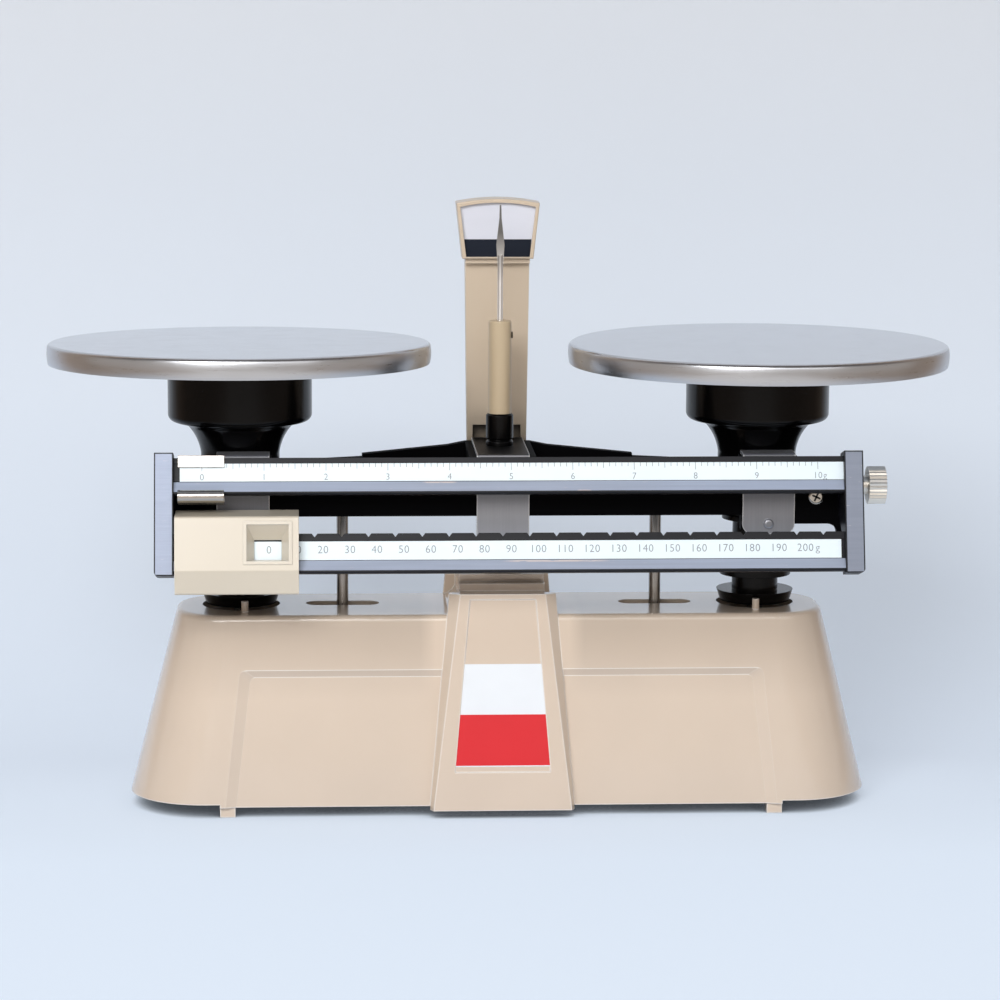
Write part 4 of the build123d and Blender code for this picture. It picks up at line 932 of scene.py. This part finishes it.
def finish_mesh(mesh: BMesh, name: str, smooth: bool = False) -> Piece:
    """Make an object of a finished bmesh and free it.

    Args:
        mesh: The shape, in its final place.
        name: The object's name.
        smooth: Whether its faces are shaded smooth.

    Returns:
        The object, at the origin.
    """
    for face in mesh.faces:
        face.smooth = smooth
    data = bpy.data.meshes.new(name)
    mesh.to_mesh(data)
    mesh.free()
    piece = bpy.data.objects.new(name, data)
    bpy.context.scene.collection.objects.link(piece)
    return piece


def even_shading(piece: Piece) -> None:
    """Shade a piece by the size of its faces, with its sharp edges kept."""
    even = piece.modifiers.new("even shading", "WEIGHTED_NORMAL")
    even.keep_sharp = True


def add_slab(mesh: BMesh, size: Point, matrix: Matrix) -> list[Corner]:
    """Add a block of a size to a bmesh, its middle at the matrix, and return its corners."""
    block = bmesh.ops.create_cube(mesh, size=1.0, matrix=matrix @ Matrix.Diagonal((*size, 1.0)))
    return block["verts"]


def sharpen(mesh: BMesh, limit: float) -> None:
    """Mark the edges between faces that meet at more than a limit in degrees as sharp."""
    for edge in mesh.edges:
        edge.smooth = edge.calc_face_angle(math.pi) < math.radians(limit)


def build_finishes(bars: BarFrame, spans: dict[Side, Span]) -> Finishes:
    """Build every finish of the balance.

    Args:
        bars: The frame of the graduated bars.
        spans: The two ends along X of the cap on each side.

    Returns:
        The materials by name.
    """
    dark = linear(20, 22, 28)
    scuffs = (
        Scuff(-25.0 * MM, 7.0 * MM, 34.9 * MM, 0.35 * MM),
        Scuff(30.5 * MM, 3.0 * MM, 31.4 * MM, 0.4 * MM),
        Scuff(19.5 * MM, 21.0 * MM, 4.5 * MM, 0.45 * MM),
    )
    looks = {
        "beige": Enamel(
            "beige enamel",
            linear(216, 199, 181),
            roughness=0.32,
            coat=1.0,
            coat_roughness=0.06,
            edge=0.5 * MM,
            edge_change=0.5,
            edge_width=0.8 * MM,
            line=0.75,
            shade=0.78,
        ),
        # A darker copy of the beige enamel, as painted shade on the column and housing behind the bars and
        # pans; their darkening in the foot openings is painted shade too.
        "column": Enamel(
            "column enamel",
            linear(204, 189, 169),
            coat=0.2,
            edge_change=0.1,
            crevice=0.95,
            crevice_reach=30.0 * MM,
            crevice_span=(156.0 * MM, 150.0 * MM),
        ),
        "khaki": Enamel("weight enamel", linear(190, 173, 145), coat=0.1, roughness=0.4),
        "cream": Enamel(
            "cream enamel",
            linear(211, 203, 187),
            coat=0.4,
            coat_roughness=0.22,
            edge_change=0.15,
            crevice=0.35,
            crevice_reach=5.0 * MM,
        ),
        "black": Enamel(
            "black enamel", linear(5, 5, 6), roughness=0.2, specular=0.16, coat=0.0, drift=0.0
        ),
        "beam": Enamel(
            "beam paint", linear(7, 7, 9), roughness=0.6, specular=0.02, coat=0.0, drift=0.0
        ),
        "bar": BarPaint("bar satin", bars, linear(176, 188, 210), dark, scuffs=scuffs),
        # Both caps have one finish; the right cap's darker grey is painted shade, as the light falls from the
        # left.
        "left_cap": BarPaint(
            "left cap satin", bars, linear(152, 162, 182), dark, ends=spans[Side.LEFT]
        ),
        "right_cap": BarPaint(
            "right cap satin", bars, linear(134, 142, 158), dark, ends=spans[Side.RIGHT], scratches=0.5
        ),
        "plate": Flat("scale plate", linear(214, 219, 232), roughness=0.4),
        "white": Flat("white scale", linear(231, 246, 254), roughness=0.35),
        "stainless": Metal(
            "brushed stainless",
            linear(196, 199, 205),
            roughness=0.14,
            side_roughness=0.3,
            rough_spread=0.06,
            tone_spread=0.04,
            grain=Grain.ROUND,
            edge=0.0,
        ),
        # The brackets' upper parts are darkened by fade as a painted shadow of the upper bar, and their edges
        # get painted highlights.
        "sheet": Metal(
            "bright sheet", linear(196, 198, 206), roughness=0.5, rough_spread=0.02, glint=0.6, fade=0.3
        ),
        "bridge": Metal(
            "bridge sheet",
            linear(216, 218, 226),
            roughness=0.5,
            rough_spread=0.02,
            glint=0.6,
            fade=0.3,
            dark_top=linear(24, 24, 26),
        ),
        "nickel": Metal(
            "nickel plate", linear(186, 180, 172), roughness=0.22, grain=Grain.ALONG_X
        ),
        "knurl": Metal(
            "knurled nickel", linear(236, 231, 222), roughness=0.36, grain=Grain.ALONG_X
        ),
        # The needle's upper end is darkened by fade: a painted dark reflection.
        "chrome": Metal(
            "chrome",
            linear(246, 246, 246),
            roughness=0.34,
            rough_spread=0.04,
            tone_spread=0.02,
            edge=0.0,
            fade=0.2,
            fade_span=(206.0 * MM, 226.0 * MM),
        ),
        "steel": Metal("plain steel", linear(160, 156, 152), roughness=0.28),
        "set_screw": Metal("oiled steel", linear(64, 58, 52), roughness=0.35),
        "hard": Metal(
            "ground steel", linear(170, 170, 172), roughness=0.25, grain=Grain.ALONG_Y
        ),
        "iron": Enamel("cast iron", linear(70, 68, 66), roughness=0.6, coat=0.0),
        "print": Flat("scale print", linear(128, 138, 148), roughness=0.5),
        "label_white": Flat("label white", linear(238, 244, 250), roughness=0.3),
        "label_red": Flat("label red", linear(222, 38, 46), roughness=0.35),
        "band": Flat("scale band", linear(30, 36, 48), roughness=0.6, specular=0.1),
        # Painted shade for the screw's cross recess.
        "recess": Flat("screw recess", linear(40, 38, 36), roughness=0.5),
    }
    effects = Effects()
    return {name: look.build(effects) for name, look in looks.items()}


SLOT_FINISH = {
    "beige_enamel": "beige",
    "cream_enamel": "cream",
    "black_enamel": "black",
    "black_aluminium": "beam",
    "grey_aluminium": "bar",
    "white_scale": "white",
    "stainless": "stainless",
    "bright_sheet": "sheet",
    "nickel": "nickel",
    "plain_steel": "steel",
    "hard_steel": "hard",
    "raw_iron": "iron",
}
NODE_FINISH = {
    "left_end_cap": "left_cap",
    "right_end_cap": "right_cap",
    "column": "column",
    "scale_housing": "column",
    "pointer_weight": "khaki",
    "pointer_needle": "chrome",
    "pointer_set_screw": "set_screw",
    "bridge_bracket": "bridge",
    "zero_knob": "knurl",
    "scale_plate": "plate",
}


def dress(piece: Piece, material: Material) -> None:
    """Give a piece one material in all its slots.

    Args:
        piece: The piece.
        material: Its finish.
    """
    if not piece.material_slots:
        piece.data.materials.append(material)
    for slot in piece.material_slots:
        slot.material = material


@dataclass
class Solids:
    """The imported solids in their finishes, with smooth copies of the turned ones."""

    frame: Frame
    finishes: Finishes
    crease: float = 32.0
    seam: float = 0.002 * MM
    paired: tuple[str, ...] = ("cup", "spool", "hanger_rod", "stem_rod")
    single: tuple[str, ...] = (
        "pointer_boss",
        "pointer_weight",
        "end_block_screw",
        "bracket_rivets",
        "fine_rider",
    )

    def build(self) -> None:
        """Dress every solid and smooth the turned ones."""
        turned = {side.word + "_" + name for side in Side for name in self.paired} | set(self.single)
        for part in self.frame["record"]["subparts"]:
            node, slot = part["node"], part["material_slot"]
            finish = self.finishes[NODE_FINISH.get(node, SLOT_FINISH[slot])]
            if node in turned:
                self._smooth_copy(node, finish)
            else:
                dress(self.frame["nodes"][node], finish)
            LOG.info("solid %s", node)

    def _smooth_copy(self, node: str, finish: Material) -> None:
        """Stand a smoothly shaded copy in a node's place.

        Args:
            node: The node that it stands for.
            finish: Its finish.
        """
        solid = self.frame["nodes"][node]
        mesh = bmesh.new()
        mesh.from_mesh(solid.data)
        bmesh.ops.remove_doubles(mesh, verts=mesh.verts, dist=self.seam)
        sharpen(mesh, self.crease)
        piece = finish_mesh(mesh, node + "_smooth", smooth=True)
        even_shading(piece)
        dress(piece, finish)
        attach(piece, solid["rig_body"])
        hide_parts(node)


@dataclass
class Pan:
    """A spun sheet pan with a rolled-down rim."""

    side: Side
    arm: float = 102.0 * MM
    radius: float = 75.0 * MM
    top: float = 182.3 * MM
    sheet: float = 1.2 * MM
    rim: float = 8.0 * MM
    round: float = 1.4 * MM
    bulge: float = 0.5 * MM
    wall_steps: int = 15
    steps: int = 192
    arc_steps: int = 8
    tilt: float = -1.45
    tilt_y: float = 28.2 * MM
    tilt_z: float = 181.1 * MM
    crease: float = 40.0
    merge: float = 0.001 * MM
    near: float = 0.05 * MM

    def build(self, finish: Material) -> None:
        """Spin the pan, seat it and dress it.

        Args:
            finish: The pan's metal.
        """
        mesh = bmesh.new()
        outline = [
            (0.0, self.top),
            (self.radius - self.bulge, self.top),
            (self.radius - self.bulge, self.top - self.rim),
            (self.radius - self.sheet, self.top - self.rim),
            (self.radius - self.sheet, self.top - self.sheet),
            (0.0, self.top - self.sheet),
        ]
        corners = [mesh.verts.new((r, 0.0, z)) for r, z in outline]
        for first, second in zip(corners, corners[1:]):
            mesh.edges.new((first, second))
        self._round_corner(mesh, corners[1], self.round)
        self._round_corner(mesh, corners[4], self.round - self.sheet)
        self._roll_wall(mesh, corners[2])
        bmesh.ops.spin(
            mesh,
            geom=mesh.verts[:] + mesh.edges[:],
            cent=(0.0, 0.0, 0.0),
            axis=(0.0, 0.0, 1.0),
            angle=2 * math.pi,
            steps=self.steps,
            use_merge=True,
        )
        bmesh.ops.remove_doubles(mesh, verts=mesh.verts, dist=self.merge)
        bmesh.ops.recalc_face_normals(mesh, faces=mesh.faces)
        sharpen(mesh, self.crease)
        bmesh.ops.translate(mesh, verts=mesh.verts, vec=(self.side.value * self.arm, 0.0, 0.0))
        if self.side is Side.LEFT:
            hinge = (0.0, self.tilt_y, self.tilt_z)
            turn = Matrix.Rotation(math.radians(self.tilt), 3, "X")
            bmesh.ops.rotate(mesh, verts=mesh.verts, cent=hinge, matrix=turn)
        name = self.side.word + "_pan"
        piece = finish_mesh(mesh, name + "_spun", smooth=True)
        even_shading(piece)
        dress(piece, finish)
        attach(piece, name)
        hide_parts(name)
        LOG.info("pan %s", self.side.word)

    def _roll_wall(self, mesh: BMesh, foot: Corner) -> None:
        """Split the outline's wall and bulge it to the full radius at half its height.

        Args:
            mesh: The bmesh of the outline.
            foot: The outer corner at the wall's foot.
        """
        wall = max(foot.link_edges, key=lambda edge: edge.calc_length())
        bmesh.ops.subdivide_edges(mesh, edges=[wall], cuts=self.wall_steps)
        half = self.rim / 2
        outside = self.radius - self.bulge - self.near
        for corner in mesh.verts:
            if corner.co.x > outside or corner.co.z > self.top - self.sheet + self.near:
                share = 1 - ((corner.co.z - self.top + half) / half) ** 2
                corner.co.x += self.bulge * share

    def _round_corner(self, mesh: BMesh, corner: Corner, radius: float) -> None:
        """Round one corner of the outline, as far from it as the radius."""
        bmesh.ops.bevel(
            mesh,
            geom=[corner],
            offset=radius,
            offset_type="OFFSET",
            affect="VERTICES",
            segments=self.arc_steps,
            profile=0.5,
            material=-1,
        )


@dataclass
class PrintedScales:
    """The ticks and numbers on the two scale strips."""

    bars: BarFrame
    ink: float = 0.02 * MM
    fine_start: float = -115.9 * MM
    fine_step: float = 2.369 * MM
    fine_count: int = 101
    fine_unit_gap: float = 2.8 * MM
    tick_width: float = 0.2 * MM
    tick_lengths: tuple[float, float, float] = (1.5 * MM, 2.1 * MM, 2.8 * MM)
    fine_number_height: float = 2.5 * MM
    fine_number_middle: float = 37.1 * MM
    coarse_start: float = -90.4 * MM
    coarse_step: float = 10.3 * MM
    coarse_count: int = 21
    coarse_unit_gap: float = 4.8 * MM
    coarse_number_height: float = 3.0 * MM
    coarse_number_middle: float = 9.1 * MM
    squeeze: float = 0.96
    letter_size: float = 1.42
    letter_steps: int = 3
    letter_weight: float = -0.012
    letter_space: float = 1.08

    def build(self, finish: Material) -> None:
        """Print both scales.

        Args:
            finish: The ink.
        """
        pieces = [self._ticks(), self._numbers("fine_numbers", self._fine_words())]
        pieces.append(self._numbers("coarse_numbers", self._coarse_words()))
        for piece in pieces:
            dress(piece, finish)
            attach(piece, "beam")
            LOG.info("print %s", piece.name)

    def _ticks(self) -> Piece:
        """The ticks that hang from the top of the upper strip."""
        mesh = bmesh.new()
        for count in range(self.fine_count):
            rank = 2 if count % 10 == 0 else 1 if count % 5 == 0 else 0
            length = self.tick_lengths[rank]
            matrix = self.bars.matrix(
                self.fine_start + count * self.fine_step,
                self.bars.strip_face + self.ink / 2,
                self.bars.upper_strip[1] - length / 2,
            )
            add_slab(mesh, (self.tick_width, length, self.ink), matrix)
        return finish_mesh(mesh, "fine_ticks")

    def _fine_words(self) -> list[tuple[str, float, float, float]]:
        """Word, place, height on the face and letter height of each upper number."""
        middle, height = self.fine_number_middle, self.fine_number_height
        words = [(str(n), self.fine_start + 10 * n * self.fine_step, middle, height) for n in range(11)]
        words.append(("g", words[-1][1] + self.fine_unit_gap, middle, height))
        return words

    def _coarse_words(self) -> list[tuple[str, float, float, float]]:
        """Word, place, height on the face and letter height of each lower number."""
        middle, height = self.coarse_number_middle, self.coarse_number_height
        words = [
            (str(10 * n), self.coarse_start + n * self.coarse_step, middle, height)
            for n in range(self.coarse_count)
        ]
        words.append(("g", words[-1][1] + self.coarse_unit_gap, middle, height))
        return words

    def _numbers(self, name: str, words: Sequence[tuple[str, float, float, float]]) -> Piece:
        """Set words on a strip.

        Args:
            name: The piece's name.
            words: Word, place along the bar, height on the face and letter height of each.

        Returns:
            The printed words as one piece.
        """
        mesh = bmesh.new()
        for word, x, middle, height in words:
            before = set(mesh.verts)
            letters = self._letters(word)
            mesh.from_mesh(letters)
            bpy.data.meshes.remove(letters)
            fresh = [v for v in mesh.verts if v not in before]
            scale = Matrix.Diagonal((height * self.squeeze, height, self.ink, 1.0))
            matrix = self.bars.matrix(x, self.bars.strip_face, middle) @ scale
            bmesh.ops.transform(mesh, matrix=matrix, verts=fresh)
        return finish_mesh(mesh, name)

    def _letters(self, word: str) -> bpy.types.Mesh:
        """A word as a mesh, its digits one unit high, centred on its middle and one unit thick.

        Args:
            word: The word.

        Returns:
            The mesh, to be removed after use.
        """
        curve = bpy.data.curves.new(word, "FONT")
        curve.body = word
        curve.align_x = "CENTER"
        curve.align_y = "CENTER"
        curve.resolution_u = self.letter_steps
        curve.size = self.letter_size
        curve.extrude = 0.5
        curve.offset = self.letter_weight
        curve.space_character = self.letter_space
        holder = bpy.data.objects.new(word, curve)
        bpy.context.scene.collection.objects.link(holder)
        bpy.context.view_layer.update()
        letters = bpy.data.meshes.new_from_object(holder.evaluated_get(bpy.context.evaluated_depsgraph_get()))
        bpy.data.objects.remove(holder)
        bpy.data.curves.remove(curve)
        return letters


@dataclass
class LabelPlate:
    """The two-colour label in the pocket of the front ridge, left bare."""

    foot_y: float = -33.5 * MM
    foot_z: float = 4.0 * MM
    lean: float = math.atan2(6.0, 75.0)
    pocket: float = 3.1 * MM
    thickness: float = 0.15 * MM
    border: float = 0.5 * MM
    edge_share: float = 0.25
    edge_steps: int = 2
    top: Span = (60.5 * MM, 15.1 * MM)
    change: Span = (40.75 * MM, 16.8 * MM)
    bottom: Span = (20.8 * MM, 18.4 * MM)

    def build(self, finishes: Finishes) -> None:
        """Build the white plate and the red field on its lower part.

        Args:
            finishes: The finishes.
        """
        low = (self.bottom[0] - self.border, self.bottom[1] + self.border / 2)
        white = self._plate("label_white", self.top, low, 0.0)
        dress(white, finishes["label_white"])
        red = self._plate("label_red", self.change, self.bottom, self.thickness)
        dress(red, finishes["label_red"])
        for piece in (white, red):
            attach(piece, "base")
            LOG.info("label %s", piece.name)

    def _corner(self, side: Side, height_half: Span, lift: float) -> Vector:
        """A corner of a plate.

        Args:
            side: The side it is on.
            height_half: Its height above the table, and the plate's half width there.
            lift: Its distance from the floor of the pocket.

        Returns:
            The point.
        """
        height, half = height_half
        out = self.pocket + lift
        along = (height - self.foot_z - out * math.sin(self.lean)) / math.cos(self.lean)
        return Vector((
            side.value * half,
            self.foot_y + along * math.sin(self.lean) - out * math.cos(self.lean),
            height,
        ))

    def _plate(self, name: str, top: Span, bottom: Span, lift: float) -> Piece:
        """A thin plate with four corners and softened edges.

        Args:
            name: The piece's name.
            top: Height and half width of its upper edge.
            bottom: Height and half width of its lower edge.
            lift: Distance of its back from the floor of the pocket.

        Returns:
            The plate.
        """
        mesh = bmesh.new()
        corners = [
            self._corner(Side.LEFT, bottom, lift),
            self._corner(Side.RIGHT, bottom, lift),
            self._corner(Side.RIGHT, top, lift),
            self._corner(Side.LEFT, top, lift),
        ]
        face = mesh.faces.new([mesh.verts.new(c) for c in corners])
        raised = bmesh.ops.extrude_face_region(mesh, geom=[face])
        out = Vector((0.0, -math.cos(self.lean), math.sin(self.lean))) * self.thickness
        moved = [v for v in raised["geom"] if isinstance(v, Corner)]
        bmesh.ops.translate(mesh, verts=moved, vec=out)
        bmesh.ops.recalc_face_normals(mesh, faces=mesh.faces)
        bmesh.ops.bevel(
            mesh,
            geom=mesh.edges[:],
            offset=self.thickness * self.edge_share,
            offset_type="OFFSET",
            affect="EDGES",
            segments=self.edge_steps,
            profile=0.5,
            material=-1,
        )
        return finish_mesh(mesh, name)


@dataclass
class ScaleBand:
    """The black band across the foot of the scale plate."""

    low: float = 214.72 * MM
    high: float = 221.6 * MM
    half_low: float = 12.65 * MM
    half_high: float = 13.35 * MM
    face: float = 18.9 * MM
    thickness: float = 0.04 * MM

    def build(self, finish: Material) -> None:
        """Build the band.

        Args:
            finish: Its colour.
        """
        mesh = bmesh.new()
        size = (2 * self.half_low, self.thickness, self.high - self.low)
        middle = (0.0, self.face - self.thickness / 2, (self.low + self.high) / 2)
        corners = add_slab(mesh, size, Matrix.Translation(middle))
        upper = [v for v in corners if v.co.z > middle[2]]
        bmesh.ops.scale(mesh, verts=upper, vec=(self.half_high / self.half_low, 1.0, 1.0))
        piece = finish_mesh(mesh, "scale_band")
        dress(piece, finish)
        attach(piece, "base")
        LOG.info("scale band")


@dataclass
class ScrewCross:
    """Dark slabs on the head of the screw at the beam's right end, as painted shade in its cross recess."""

    place: Point = (122.0 * MM, -28.6 * MM, 125.2 * MM)
    length: float = 3.6 * MM
    width: float = 0.75 * MM
    depth: float = 0.04 * MM
    turn: float = 24.0

    def build(self, finish: Material) -> None:
        """Build the two slots.

        Args:
            finish: Their colour.
        """
        mesh = bmesh.new()
        for angle in (self.turn, self.turn + 90.0):
            spin = Matrix.Rotation(math.radians(angle), 4, "Y")
            size = (self.length, self.depth, self.width)
            add_slab(mesh, size, Matrix.Translation(self.place) @ spin)
        piece = finish_mesh(mesh, "screw_cross")
        dress(piece, finish)
        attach(piece, "beam")
        LOG.info("screw cross")


def cap_spans() -> dict[Side, Span]:
    """The two ends along X of the cap on each side."""
    boxes = {side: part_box(side.word + "_end_cap") for side in Side}
    return {side: (low[0], high[0]) for side, (low, high) in boxes.items()}


def main() -> None:
    """Build the scene in order."""
    logging.basicConfig(level=logging.INFO, format="%(name)s: %(message)s")
    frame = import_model()
    bpy.context.scene.view_settings.view_transform = "Standard"
    bars = BarFrame()
    finishes = build_finishes(bars, cap_spans())
    Solids(frame, finishes).build()
    for side in Side:
        Pan(side).build(finishes["stainless"])
    PrintedScales(bars).build(finishes["print"])
    LabelPlate().build(finishes)
    ScaleBand().build(finishes["band"])
    ScrewCross().build(finishes["recess"])
    Studio().build()
    PhotoCamera().build()


if __name__ == "__main__":
    main()
